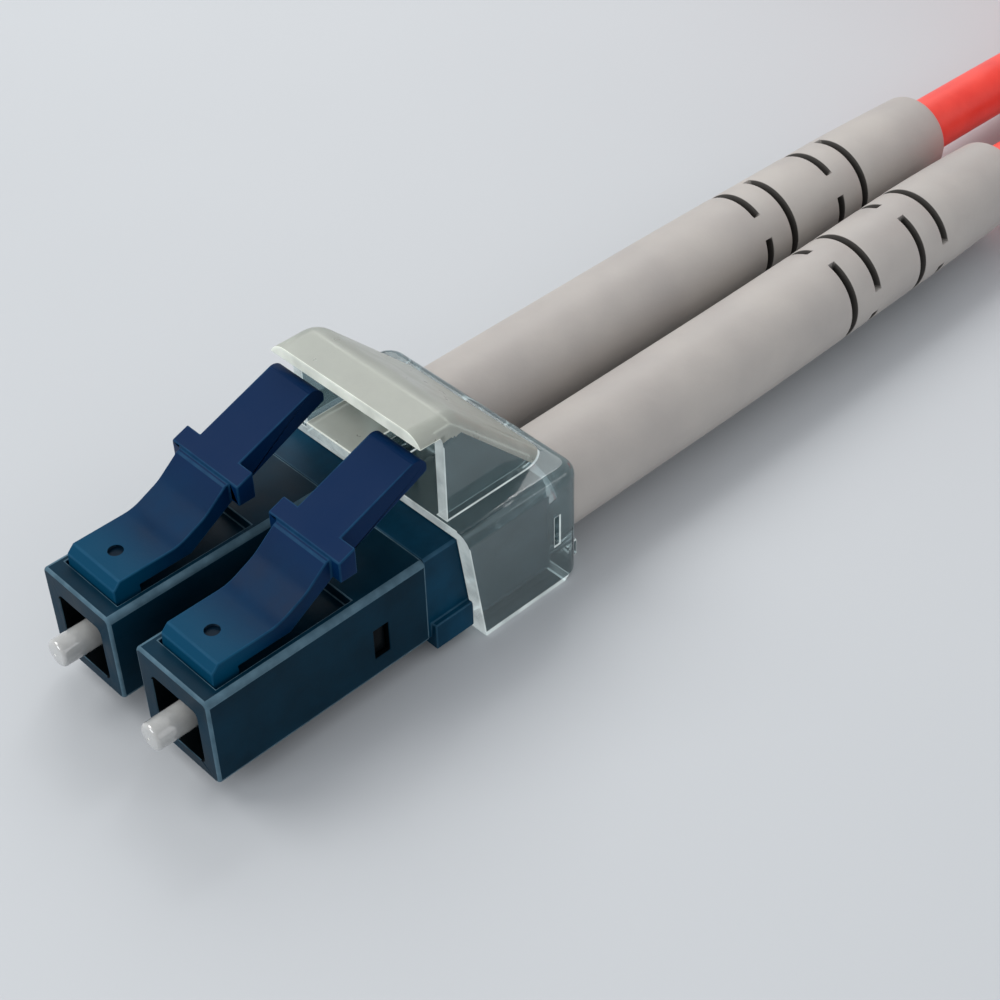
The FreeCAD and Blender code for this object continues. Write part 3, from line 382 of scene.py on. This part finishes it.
def roundEdges(bm, shape):
    # rounds the sharp edges, all but those near the shape's leave places, and marks what is rounded
    # or slanted for the painted edge light (a highlight, or a glow on the clip), all but near its
    # plain places
    left = [(Vector(place) * mm, reach * mm) for place, reach in shape.get("leave", [])]
    marks = bm.loops.layers.float.new("edge")

    def wanted(edge):
        if len(edge.link_faces) != 2 or edge.calc_length() < shape["shortest"] * mm:
            return False
        middle = (edge.verts[0].co + edge.verts[1].co) / 2
        if any((middle - place).length < reach for place, reach in left):
            return False
        return edge.calc_face_angle(0.0) > math.radians(shape["angle"])

    made = bmesh.ops.bevel(bm, geom=[edge for edge in bm.edges if wanted(edge)],
                           offset=shape["round"] * mm, segments=shape["steps"], profile=0.5,
                           affect="EDGES", clamp_overlap=False)
    rounded = set(made["faces"])
    if "slanted" in shape:
        rounded |= {face for face in bm.faces
                    if max(abs(part) for part in face.normal) < shape["slanted"]}
    plain = [(Vector(place) * mm, reach * mm) for place, reach in shape.get("plain", [])]
    for face in rounded:
        middle = face.calc_center_median()
        mark = 0.0 if any((middle - place).length < reach for place, reach in plain) else 1.0
        for loop in face.loops:
            loop[marks] = mark


def shadeHollows(bm, hollows):
    # marks the faces inside the boxes for painted shade
    paintedShadeMarks = bm.loops.layers.float.new("paintedShade")
    boxes = [(Vector(low) * mm, Vector(high) * mm) for low, high in hollows]
    for face in bm.faces:
        place = face.calc_center_median()
        inside = any(all(low[i] < place[i] < high[i] for i in range(3)) for low, high in boxes)
        for loop in face.loops:
            loop[paintedShadeMarks] = 1.0 if inside else 0.0


def roundedSolid(name, node, material, body, shape):
    # the solid's own form with its edges rounded and marked for the painted highlight, and painted
    # shade in its hollows
    bm = solidCopy(node)
    roundEdges(bm, shape)
    if "hollows" in shape:
        shadeHollows(bm, shape["hollows"])
    finishMesh(name, bm, [material], body, [node])


# edge colour: a painted highlight on rounded edges; the near-black colour: painted shade in the
# mouths and windows
housingLook = {"dark": (0.0, 0.125, 0.185), "light": (0.015, 0.165, 0.235), "edge": 0.9,
               "paintedEdgeColour": (0.34, 0.45, 0.51), "breakup": 0.35, "fine": 9000.0, "slow": 420.0,
               "smooth": 0.34, "rough": 0.5, "shine": 0.07, "bump": 0.25,
               "paintedShade": (0.01, 0.03, 0.045)}
# edge colour: a painted highlight on rounded edges; the two colours along the piece: a painted sheen
# on the front plate and painted shade on the lever; the darkest colour: painted shade in the dimples
latchLook = {"dark": (0.0, 0.125, 0.24), "light": (0.004, 0.165, 0.29), "edge": 0.35,
             "paintedEdgeColour": (0.14, 0.34, 0.46), "breakup": 0.45, "fine": 9000.0, "slow": 380.0,
             "smooth": 0.36, "rough": 0.52, "shine": 0.07, "bump": 0.3,
             "paintedSheenAndShade": [((0.0, 0.235, 0.345), -22.0, -25.0), ((0.0, 0.13, 0.275), -21.5, -19.0)],
             "paintedShade": (0.005, 0.09, 0.15)}
# edge colour: a painted highlight on rounded edges; the near-black colour: painted shade in the
# windows
rearLook = {"dark": (0.0, 0.18, 0.265), "light": (0.03, 0.235, 0.335), "edge": 0.6,
            "paintedEdgeColour": (0.22, 0.36, 0.45), "breakup": 0.4, "fine": 9000.0, "slow": 450.0,
            "smooth": 0.34, "rough": 0.5, "shine": 0.08, "bump": 0.25,
            "paintedShade": (0.01, 0.03, 0.045)}
housingPlastic = mouldedPlastic("housingPlastic", housingLook)
latchPlastic = mouldedPlastic("latchPlastic", latchLook)
rearPlastic = mouldedPlastic("rearPlastic", rearLook)

mouths = [((-26.25, y - 1.46, 1.59), (-22.9, y + 1.46, 4.51)) for y in plugCentres]
windows = [((-18.3, y - 2.21, 2.0), (-17.4, y + 2.21, 3.7)) for y in plugCentres]
windowSides = [y + out for y in plugCentres for out in (-2.26, 2.26)]
dimples = [((-24.5, y - 0.35, 6.2), (-23.8, y + 0.35, 6.38)) for y in plugCentres]
housingShape = {"round": 0.05, "steps": 3, "angle": 35, "shortest": 0.12, "slanted": 0.985,
                "plain": [((-17.85, y, 2.85), 1.1) for y in windowSides],
                "hollows": mouths + windows}
latchShape = {"round": 0.07, "steps": 3, "angle": 24, "shortest": 0.12,
              "leave": [((-24.15, y, 6.4), 0.5) for y in plugCentres], "hollows": dimples}
rearShape = {"round": 0.06, "steps": 2, "angle": 35, "shortest": 0.12, "slanted": 0.985,
             "hollows": windows}
for side in sides:
    roundedSolid("housing_" + side, "plug_frame_" + side, housingPlastic, "root",
                 housingShape)
    roundedSolid("latch_" + side, "latch_arm_" + side, latchPlastic, "latch_" + side,
                 latchShape)
    roundedSolid("rear_" + side, "rear_body_" + side, rearPlastic, "root", rearShape)
print("housings, latches and rear bodies rounded")


# glint: the colour of the painted glow at the clip's rounded edges
clearLook = {"tint": (0.60, 0.69, 0.71), "haze": 0.2, "bend": 1.28, "gloss": 0.1,
             "roughness": 0.1, "coat": 0.5, "bump": 0.12, "glint": (0.72, 0.75, 0.75)}
frostLook = {"tint": (0.75, 0.765, 0.73), "haze": 0.6, "bend": 1.3, "gloss": 0.3,
             "roughness": 0.35, "coat": 0.12, "bump": 0.12, "glint": (0.72, 0.74, 0.72)}
clipShape = {"round": 0.05, "steps": 2, "angle": 30, "shortest": 0.12,
             "leave": [((-8.7, y, axisHeight), 2.8) for y in plugCentres]}
hood = {"walls": -13.65, "wallsFoot": 6.09, "setBack": 0.16, "foot": 6.25, "brow": 10.3,
        "slope": 0.25}
rim = {"side": 5.95, "square": 0.9, "high": 0.26, "front": -12.8, "forward": 0.8,
       "frontGlow": 0.8, "lowGlow": 1.0}
nests = {"front": -15.2, "rear": -7.2, "side": 5.95, "low": 0.3, "high": 5.8}


def clearPlastic(name, look):
    # see-through plastic, hazy by as much as the look says, with a painted glow at its rounded edges
    material, tree, shader = newMaterial(name)
    grain = placeGroup(tree, grainGroup, {"Fine Scale": 5200.0, "Slow Scale": 700.0})
    dull = tuple(c * 0.95 for c in look["tint"])
    body = colourBetween(tree, grain.outputs["Mask"], linear(dull), linear(look["tint"]))
    tree.links.new(body, shader.inputs["Base Color"])
    # a painted glow at the rounded edges, standing in for light that travels inside the wall and
    # leaves there
    edge = placeGroup(tree, paintedEdgeGroup, {"Amount": 1.0, "Breakup": 0.35, "Scale": 900.0})
    glint = addNode(tree, "ShaderNodeMix", data_type="RGBA")
    glint.inputs["A"].default_value = (0, 0, 0, 1)
    glint.inputs["B"].default_value = linear(look["glint"])
    tree.links.new(edge.outputs["Mask"], glint.inputs["Factor"])
    tree.links.new(glint.outputs["Result"], shader.inputs["Emission Color"])
    shader.inputs["Emission Strength"].default_value = 1.0
    shader.inputs["Transmission Weight"].default_value = 1.0 - look["haze"]
    shader.inputs["IOR"].default_value = look["bend"]
    shader.inputs["Coat Weight"].default_value = look["coat"]
    shader.inputs["Coat IOR"].default_value = 1.5
    shader.inputs["Coat Roughness"].default_value = look["gloss"]
    roughnessBetween(tree, shader, grain.outputs["Mask"], look["roughness"] * 0.7,
                     look["roughness"] * 1.4)
    addBump(tree, shader, grain.outputs["Height"], look["bump"], 0.02)
    return material


def setHoodBack(bm):
    # room for the rounding between the hood's walls and the box's front edge
    for vert in bm.verts:
        onWall = abs(vert.co.x - hood["walls"] * mm) < 0.003 * mm
        if onWall and vert.co.z > hood["wallsFoot"] * mm:
            vert.co.x += hood["setBack"] * mm


def splitSides(bm):
    # a narrow strip along the foot of the box's two sides
    walls = [face for face in bm.faces if abs(face.calc_center_median().y) > rim["side"] * mm
             and abs(face.normal.y) > rim["square"]]
    around = list({edge for face in walls for edge in face.edges})
    corners = list({vert for face in walls for vert in face.verts})
    bmesh.ops.bisect_plane(bm, geom=corners + around + walls, dist=1e-7,
                           plane_co=(0, 0, rim["high"] * mm), plane_no=(0, 0, 1))


def makeClip():
    # the box is clear, the hood that covers the levers is frosted on top
    bm = solidCopy("duplex_clip")
    setHoodBack(bm)
    splitSides(bm)
    roundEdges(bm, clipShape)
    marks = bm.loops.layers.float["edge"]
    for face in bm.faces:
        x, y, z = face.calc_center_median() / mm
        if z > hood["foot"] and (face.normal.z > hood["slope"] or z > hood["brow"]):
            face.material_index = 1
        # painted glow on the front rim and along the foot of the sides, none on faces inside the
        # nests
        if face.normal.x < -rim["forward"] and x < rim["front"]:
            mark = rim["frontGlow"]
        elif z < rim["high"] and abs(y) > rim["side"]:
            mark = rim["lowGlow"]
        elif nests["front"] < x < nests["rear"] and abs(y) < nests["side"] \
                and nests["low"] < z < nests["high"]:
            mark = 0.0
        else:
            continue
        for loop in face.loops:
            loop[marks] = mark
    materials = [clearPlastic("clipPlastic", clearLook), clearPlastic("frostedPlastic", frostLook)]
    finishMesh("clip", bm, materials, "root", ["duplex_clip"])


makeClip()
print("clip made")


def lathe(outline, centre, count):
    # an open outline of (x, radius) turned round a line along X through the centre
    bm = bmesh.new()
    rings = []
    for x, radius in outline:
        ring = []
        for i in range(count):
            turn = 2 * math.pi * i / count
            ring.append(bm.verts.new((x * mm, (centre[0] + radius * math.cos(turn)) * mm,
                                      (centre[1] + radius * math.sin(turn)) * mm)))
        rings.append(ring)
    bridge(bm, rings)
    bmesh.ops.recalc_face_normals(bm, faces=bm.faces)
    return bm


ferruleLook = {"dark": (0.66, 0.665, 0.66), "light": (0.74, 0.745, 0.74), "fine": 12000.0,
               "slow": 900.0, "smooth": 0.07, "rough": 0.14, "shine": 1.0, "bump": 0.04,
               "glow": 0.05, "coat": 1.0}
ferrule = {"tip": -27.7, "end": -21.2, "radius": 0.6245, "pressed": 0.4245, "seat": -22.58,
           "bore": 0.0625, "boreDepth": 0.6, "chamfer": 0.18, "face": 0.45, "dome": 0.03,
           "steps": 6, "columns": 72}
whiteCeramic = mouldedPlastic("whiteCeramic", ferruleLook)


def ferruleProfile():
    # from inside the bore over the domed face and rounded chamfer, back to the pressed end
    f = ferrule
    steps = f["steps"]
    points = [(f["tip"] + f["boreDepth"], f["bore"]), (f["tip"], f["bore"])]
    for i in range(1, steps + 1):
        radius = f["bore"] + (f["face"] - f["bore"]) * i / steps
        points.append((f["tip"] + f["dome"] * (radius / f["face"]) ** 2, radius))
    rise = f["radius"] - f["face"]
    for i in range(1, steps + 1):
        turn = math.pi / 2 * i / steps
        points.append((f["tip"] + f["dome"] + f["chamfer"] * (1 - math.cos(turn)),
                       f["face"] + rise * math.sin(turn)))
    points += [(f["tip"] + 1.5, f["radius"]), (f["seat"] - 0.01, f["radius"]),
               (f["seat"], f["radius"] - 0.01), (f["seat"], f["pressed"]),
               (f["end"], f["pressed"]), (f["end"], 0.3), (f["end"] - f["boreDepth"], f["bore"])]
    return points


for side, sign in sides.items():
    bm = lathe(ferruleProfile(), (sign * plugPitch / 2, axisHeight), ferrule["columns"])
    finishMesh("ferrulePin_" + side, bm, [whiteCeramic], "ferrule_set_" + side,
               ["ferrule_" + side])

flangeMetal = metal("flangeMetal", {"dark": (0.60, 0.58, 0.53), "light": (0.74, 0.72, 0.67),
                                    "along": 4000.0, "across": 300.0, "smooth": 0.25,
                                    "rough": 0.4, "bump": 0.1})
ringMetal = metal("ringMetal", {"dark": (0.70, 0.66, 0.56), "light": (0.80, 0.77, 0.68),
                                "along": 3000.0, "across": 500.0, "smooth": 0.28,
                                "rough": 0.42, "bump": 0.15})
springWire = metal("springWire", {"dark": (0.58, 0.58, 0.57), "light": (0.72, 0.72, 0.71),
                                  "along": 900.0, "across": 900.0, "smooth": 0.2,
                                  "rough": 0.35, "bump": 0.05})
bufferLook = {"dark": (0.86, 0.86, 0.83), "light": (0.92, 0.92, 0.90), "fine": 9000.0,
              "slow": 600.0, "smooth": 0.3, "rough": 0.45, "shine": 0.5, "bump": 0.1}
bufferPlastic = mouldedPlastic("bufferPlastic", bufferLook)


def dressSolid(node, material):
    mesh = nodes[node].data
    mesh.materials.clear()
    mesh.materials.append(material)


for side in sides:
    dressSolid("flange_" + side, flangeMetal)
    dressSolid("crimp_ring_" + side, ringMetal)
    dressSolid("fibre_" + side, bufferPlastic)


def makeSpring(side):
    # the coil, a copy of the spring's solid that rides on the ferrule set
    bm = bmesh.new()
    bm.from_mesh(nodes["spring_" + side].data)
    coil = finishMesh("springCoil_" + side, bm, [springWire], "ferrule_set_" + side,
                      ["spring_" + side])
    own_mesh(coil)


for side, sign in sides.items():
    makeSpring(side)
print("ferrules, flanges, springs, fibres and crimp rings finished")


def smooth(share):
    # an even start and end between 0 and 1
    share = min(1.0, max(0.0, share))
    return share * share * (3 - 2 * share)


boot = {"front": -8.65, "end": 26.7, "radius": 2.4, "tail": 2.2, "bore": 1.89, "tailBore": 1.58,
        "step": 1.9, "taper": 20.3, "lip": 0.2, "chamfer": 0.12, "stride": 1.16, "strides": 17,
        "tailRings": (21.2, 22.1, 23, 23.9, 24.8, 25.6), "boreRings": (18, 11),
        "slitFirst": 12.1, "slitStep": 1.85, "slitPair": 5.5, "slitWidth": 0.46,
        "slitAngle": 150.0, "slitFloor": 1.7, "slitRound": 0.05, "slitClear": 0.3,
        "columns": 96, "lean": 0.3, "leanFrom": 4.0}
bootRolls = {"left": 138.5, "right": 90.5}
bootSlips = {"left": 1.0, "right": 0.0}
# edge colour: a painted highlight on the slit rims; the darkest colour: painted shade inside the
# slits
bootLook = {"dark": (0.665, 0.645, 0.63), "light": (0.705, 0.685, 0.665), "edge": 0.2,
            "paintedEdgeColour": (0.80, 0.79, 0.77), "breakup": 0.5, "fine": 5200.0, "slow": 220.0,
            "smooth": 0.46, "rough": 0.62, "shine": 0.3, "bump": 0.35, "glow": 0.08,
            "paintedShade": (0.13, 0.12, 0.11)}
bootRubber = mouldedPlastic("bootRubber", bootLook)


def bootRadius(x):
    # outside radius along the boot: rounded front, long straight, gentle taper, rounded tail
    b = boot
    if x < b["front"] + b["lip"]:
        share = 1 - (x - b["front"]) / b["lip"]
        return b["radius"] - b["lip"] * (1 - math.sqrt(max(0.0, 1 - share ** 2)))
    if x < b["taper"]:
        return b["radius"]
    share = (x - b["taper"]) / (b["end"] - b["taper"])
    radius = b["radius"] + (b["tail"] - b["radius"]) * (0.5 * share + 0.5 * share ** 2)
    if x > b["end"] - b["lip"]:
        near = (x - b["end"] + b["lip"]) / b["lip"]
        radius -= b["lip"] * (1 - math.sqrt(max(0.0, 1 - near ** 2)))
    return radius


slitStarts = [boot["slitFirst"] + boot["slitPair"] * pair + boot["slitStep"] * second
              for pair in (0, 1) for second in (0, 1)]


def bootStations():
    # where the boot's rings of points stand, close together at the slits and both ends
    b = boot
    edge, wide, clear = b["slitRound"], b["slitWidth"], b["slitClear"]
    ends = (0, 0.08, 0.3, 0.6, 1)
    xs = [b["front"] + b["lip"] * share for share in ends]
    xs += [b["front"] + b["lip"] + b["stride"] * i for i in range(1, b["strides"] + 1)]
    for x in slitStarts:
        xs = [v for v in xs if not x - clear < v < x + wide + clear]
        xs += [x - edge, x - 0.3 * edge, x, x + 0.02, x + wide - 0.02, x + wide,
               x + wide + 0.3 * edge, x + wide + edge]
    xs += b["tailRings"]
    xs += [b["end"] - b["lip"] * share for share in ends]
    return sorted(xs)


def bootLean(side, x):
    # how far the pair's soft tails lean towards each other
    return -sides[side] * boot["lean"] * smooth((x - boot["leanFrom"])
                                                / (boot["end"] - boot["leanFrom"]))


def insideSlit(turn, centre):
    # true where the angle lies in one of the ring's two slits
    for half in (0, 180):
        away = (turn - centre - half + 180) % 360 - 180
        if abs(away) < boot["slitAngle"] / 2 - 0.1:
            return True
    return False


def outsidePlace(side, x, turn):
    # the radius, painted highlight mark and painted shade mark of a place on the boot's outside
    b = boot
    soft = 0.3 * b["slitRound"]
    radius = bootRadius(x)
    for i, start in enumerate(slitStarts):
        end = start + b["slitWidth"]
        if not insideSlit(turn, bootRolls[side] + 90 * (i % 2)):
            continue
        if start + 0.01 < x < end - 0.01:
            return b["slitFloor"], 0.0, 1.0
        if min(abs(x - start), abs(x - end)) < 1e-6:
            return radius - b["slitRound"], 0.0, 0.85
        if start - soft - 1e-6 < x < end + soft + 1e-6:
            return radius - soft, 1.0, 0.0
    return radius, 0.0, 0.0


def makeBoot(side):
    # rings of points along the outside, then back through the bore to the first one
    b = boot
    pitch = 360 / b["columns"]
    phase = (bootRolls[side] - b["slitAngle"] / 2) % pitch
    inside = [(b["end"], b["tailBore"] + b["chamfer"]), (b["end"] - b["chamfer"], b["tailBore"])]
    inside += [(x, b["tailBore"]) for x in b["boreRings"]]
    inside += [(b["step"], b["tailBore"]), (b["step"], b["bore"]), (b["front"], b["bore"])]
    bm = bmesh.new()
    marks = bm.verts.layers.float.new("edge")
    paintedShadeMarks = bm.verts.layers.float.new("paintedShade")
    rings = []
    for x, bore in [(x, None) for x in bootStations()] + inside:
        middle = sides[side] * plugPitch / 2 + bootLean(side, x)
        ring = []
        for i in range(b["columns"]):
            turn = phase + i * pitch
            radius, mark, paintedShade = (bore, 0.0, 0.0) if bore else outsidePlace(side, x, turn)
            y = middle - radius * math.sin(math.radians(turn))
            z = axisHeight + radius * math.cos(math.radians(turn))
            vert = bm.verts.new(((x + bootSlips[side]) * mm, y * mm, z * mm))
            vert[marks] = mark
            vert[paintedShadeMarks] = paintedShade
            ring.append(vert)
        rings.append(ring)
    bridge(bm, rings + rings[:1])
    bmesh.ops.recalc_face_normals(bm, faces=bm.faces)
    finishMesh("bootSleeve_" + side, bm, [bootRubber], "root", ["boot_" + side])


for side in sides:
    makeBoot(side)
print("boots made")


# the cords leave their boots, come down to the surface and are put away in one hank
cord = {"diameter": 3.0, "length": 1.0, "exits": {"left": 27.7, "right": 26.7}, "lie": 1.55,
        "columns": 40, "core": -0.5}
hank = {"near": 65.7, "far": 120.5, "bends": {"left": 9.15, "right": 12.25}, "bendPoints": 6,
        "layer": 3.0, "laps": 7, "rise": (112, 74), "tieLift": 0.6,
        "points": {"left": 99, "right": 88}}
jacketLook = {"dark": (0.90, 0.24, 0.20), "light": (0.96, 0.31, 0.26), "fine": 7000.0,
              "slow": 300.0, "smooth": 0.34, "rough": 0.5, "shine": 0.45, "bump": 0.25,
              "glow": 0.1}
cordJacket = mouldedPlastic("cordJacket", jacketLook)


def hankPoints(side):
    # out along the cord's own side, round the far bend, back and round the near one, a layer up
    # on every way back
    h = hank
    radius = h["bends"][side]
    sign = sides[side]
    step = 180 / h["bendPoints"]
    turns = [math.radians(step * (i + 0.5)) for i in range(h["bendPoints"])]
    around = radius / math.cos(math.radians(step / 2))
    middle = (h["near"] + h["far"]) / 2
    reach = (h["far"] - h["near"]) / 4
    points = []
    for lap in range(h["laps"]):
        ground = cord["lie"] + h["layer"] * lap
        for x in (middle - reach, middle, middle + reach):
            points.append((x, sign * radius, ground + h["tieLift"] * (x == middle)))
        for turn in turns:
            points.append((h["far"] + around * math.sin(turn), sign * around * math.cos(turn),
                           ground))
        for x in (middle + reach, middle, middle - reach):
            up = smooth((h["rise"][0] - x) / (h["rise"][0] - h["rise"][1]))
            points.append((x, -sign * radius,
                           ground + h["layer"] * up + h["tieLift"] * (x == middle)))
        for turn in turns:
            points.append((h["near"] - around * math.sin(turn), -sign * around * math.cos(turn),
                           ground + h["layer"]))
    return points[:h["points"][side]]


cordStarts = {
    "left": [(-1.2, 3.125, 3.05), (13.7, 2.97, 3.05), (31.7, 2.8, 3.05), (52.1, 3.525, 1.55),
             (58.5, 5.0, 1.55), (65.5, 8.1, 1.55), (72.0, 9.15, 1.55)],
    "right": [(-1.2, -3.125, 3.05), (13.7, -2.97, 3.05), (31.7, -2.8, 3.05),
              (52.1, -3.525, 1.55), (58.5, -5.7, 1.55), (65.5, -10.6, 1.55),
              (72.5, -12.25, 1.55)],
}


def layCord(side):
    # the jacket at its full length, on a smooth curve through its points
    points = cordStarts[side] + hankPoints(side)
    data = bpy.data.curves.new("cordJacket_" + side, "CURVE")
    data.dimensions = "3D"
    spline = data.splines.new("NURBS")
    spline.points.add(len(points) - 1)
    for item, point in zip(spline.points, points):
        item.co = (point[0] * mm, point[1] * mm, point[2] * mm, 1)
    spline.order_u = 3
    spline.use_endpoint_u = True
    spline.resolution_u = 8
    data.resolution_u = 8
    data.bevel_depth = cord["diameter"] / 2 * mm
    data.bevel_resolution = 8
    data.use_fill_caps = True
    data.materials.append(cordJacket)
    piece = bpy.data.objects.new("cordJacket_" + side, data)
    bpy.context.scene.collection.objects.link(piece)
    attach(piece, "root")
    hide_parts("cord_" + side, "hank_" + side)
    return piece, points


def cordEnd(side, points):
    # what shows at the cut end of the jacket: yellow strength yarn and the white buffered fibre
    last, before = Vector(points[-1]), Vector(points[-2])
    along = (last - before).normalized()
    turn = along.to_track_quat("X", "Z").to_matrix().to_4x4()
    place = Matrix.Translation(last * mm) @ turn
    core = cord["core"]
    yarn = [(core, 0.98), (0.12, 0.98), (0.22, 0.86), (0.24, 0.46)]
    buffer = [(core, 0.45), (0.62, 0.45), (0.66, 0.41), (0.66, ferrule["bore"]),
              (0.6, ferrule["bore"])]
    rows = [("cutYarn_" + side, yarnFluff, yarn), ("cutBuffer_" + side, bufferPlastic, buffer)]
    made = []
    for name, material, outline in rows:
        bm = lathe(outline, (0, 0), cord["columns"])
        bm.transform(place)
        made.append(finishMesh(name, bm, [material], "root", []))
    return made


yarnLook = {"dark": (0.80, 0.66, 0.24), "light": (0.90, 0.78, 0.38), "fine": 14000.0,
            "slow": 2600.0, "smooth": 0.6, "rough": 0.8, "shine": 0.2, "bump": 0.9, "glow": 0.1}
yarnFluff = mouldedPlastic("yarnFluff", yarnLook)
for side in sides:
    piece, points = layCord(side)
    ends = cordEnd(side, points)
print("cords laid")


# the tie: a woven band round the hank, its end lapped over on top
tie = {"at": 93.2, "width": 6.0, "half": 13.8, "low": 0.48, "high": 18.4, "thick": 0.35,
       "selvedge": 0.12, "corner": 1.6, "cornerSteps": 8, "stride": 1.2, "lap": 4, "lapGap": 0.05}
tieLook = {"dark": (0.14, 0.145, 0.155), "light": (0.20, 0.205, 0.215), "fine": 5200.0,
           "slow": 1500.0, "smooth": 0.75, "rough": 0.9, "shine": 0.2, "bump": 0.9}


def wovenBand(name, look):
    # crossing threads across the band, a fraction of a millimetre apart
    material, tree, shader = newMaterial(name)
    grain = placeGroup(tree, grainGroup, {"Fine Scale": look["fine"], "Slow Scale": look["slow"]})
    place = addNode(tree, "ShaderNodeTexCoord")
    warp = addNode(tree, "ShaderNodeTexWave", {"Scale": 900.0, "Distortion": 0.6, "Detail": 1.0},
                   bands_direction="X")
    weft = addNode(tree, "ShaderNodeTexWave", {"Scale": 700.0, "Distortion": 0.8, "Detail": 1.0},
                   bands_direction="DIAGONAL")
    for wave in (warp, weft):
        tree.links.new(place.outputs["Object"], wave.inputs["Vector"])
    threads = addNode(tree, "ShaderNodeMath", operation="MULTIPLY")
    tree.links.new(warp.outputs["Fac"], threads.inputs[0])
    tree.links.new(weft.outputs["Fac"], threads.inputs[1])
    fuzz = addNode(tree, "ShaderNodeMath", operation="ADD")
    tree.links.new(threads.outputs["Value"], fuzz.inputs[0])
    tree.links.new(grain.outputs["Height"], fuzz.inputs[1])
    colour = colourBetween(tree, fuzz.outputs["Value"], linear(look["dark"]),
                           linear(look["light"]), 0.4, 1.2)
    tree.links.new(colour, shader.inputs["Base Color"])
    roughnessBetween(tree, shader, grain.outputs["Mask"], look["smooth"], look["rough"])
    shader.inputs["Specular IOR Level"].default_value = look["shine"]
    shader.inputs["Sheen Weight"].default_value = 0.25
    shader.inputs["Sheen Roughness"].default_value = 0.5
    addBump(tree, shader, fuzz.outputs["Value"], look["bump"], 0.1)
    return material


def tieLoop():
    # right round the hank: (y, z) and the way out of the band, closed
    t = tie
    wide, low, high, corner = t["half"], t["low"], t["high"], t["corner"]
    centres = [(wide - corner, low + corner, -90), (wide - corner, high - corner, 0),
               (-wide + corner, high - corner, 90), (-wide + corner, low + corner, 180)]
    line = []
    for y, z, start in centres:
        for i in range(t["cornerSteps"] + 1):
            a = math.radians(start + 90 * i / t["cornerSteps"])
            line.append((y + corner * math.cos(a), z + corner * math.sin(a), math.cos(a),
                         math.sin(a)))
    loop = []
    for a, b in zip(line, line[1:] + line[:1]):
        steps = max(1, round(math.dist(a[:2], b[:2]) / t["stride"]))
        for i in range(steps):
            loop.append(tuple(p + (q - p) * i / steps for p, q in zip(a, b)))
    return loop + loop[:1]


def addStrip(bm, marks, path, out):
    # a strip of the band along the path, its two long edges thinner and marked
    t = tie
    rings = []
    for y, z, ny, nz in path:
        ring = []
        for share, lift, mark in tieSection:
            far = out + lift
            vert = bm.verts.new(((t["at"] + t["width"] * share) * mm, (y + ny * far) * mm,
                                 (z + nz * far) * mm))
            vert[marks] = mark
            ring.append(vert)
        rings.append(ring)
    bridge(bm, rings)
    return rings


tieSection = [(-0.5, tie["selvedge"], 1.0)]
tieSection += [(share, tie["thick"], 0.0) for share in (-0.47, -0.25, 0.0, 0.25, 0.47)]
tieSection += [(0.5, tie["selvedge"], 1.0), (0.5, 0.0, 1.0), (-0.5, 0.0, 1.0)]


def makeTie():
    loop = tieLoop()
    lap = [place for place in loop if place[1] > tie["high"] - 0.01 and abs(place[0]) < tie["lap"]]
    bm = bmesh.new()
    marks = bm.verts.layers.float.new("edge")
    addStrip(bm, marks, loop, 0.0)
    rings = addStrip(bm, marks, lap, tie["thick"] + tie["lapGap"])
    bm.faces.new(rings[0])
    bm.faces.new(list(reversed(rings[-1])))
    bmesh.ops.remove_doubles(bm, verts=bm.verts, dist=0.001 * mm)
    bmesh.ops.recalc_face_normals(bm, faces=bm.faces)
    finishMesh("tieBand", bm, [wovenBand("tieWeave", tieLook)], "root", ["hank_tie"])


makeTie()
print("tie made")


# the pale surface that everything lies on
floorLook = {"colour": (0.745, 0.76, 0.775), "drift": (0.73, 0.745, 0.76), "patches": 14.0,
             "rough": 0.6, "half": 1500}


def makeFloor():
    material, tree, shader = newMaterial("paleSurface")
    place = addNode(tree, "ShaderNodeTexCoord")
    patches = addNode(tree, "ShaderNodeTexNoise", {"Scale": floorLook["patches"], "Detail": 3.0})
    tree.links.new(place.outputs["Object"], patches.inputs["Vector"])
    colour = colourBetween(tree, patches.outputs["Fac"], linear(floorLook["drift"]),
                           linear(floorLook["colour"]))
    tree.links.new(colour, shader.inputs["Base Color"])
    shader.inputs["Roughness"].default_value = floorLook["rough"]
    bm = bmesh.new()
    bmesh.ops.create_grid(bm, x_segments=4, y_segments=4, size=floorLook["half"] * mm)
    mesh = bpy.data.meshes.new("floorSheet")
    bm.to_mesh(mesh)
    bm.free()
    mesh.materials.append(material)
    item = bpy.data.objects.new("floorSheet", mesh)
    bpy.context.scene.collection.objects.link(item)


makeFloor()
print("floor made")
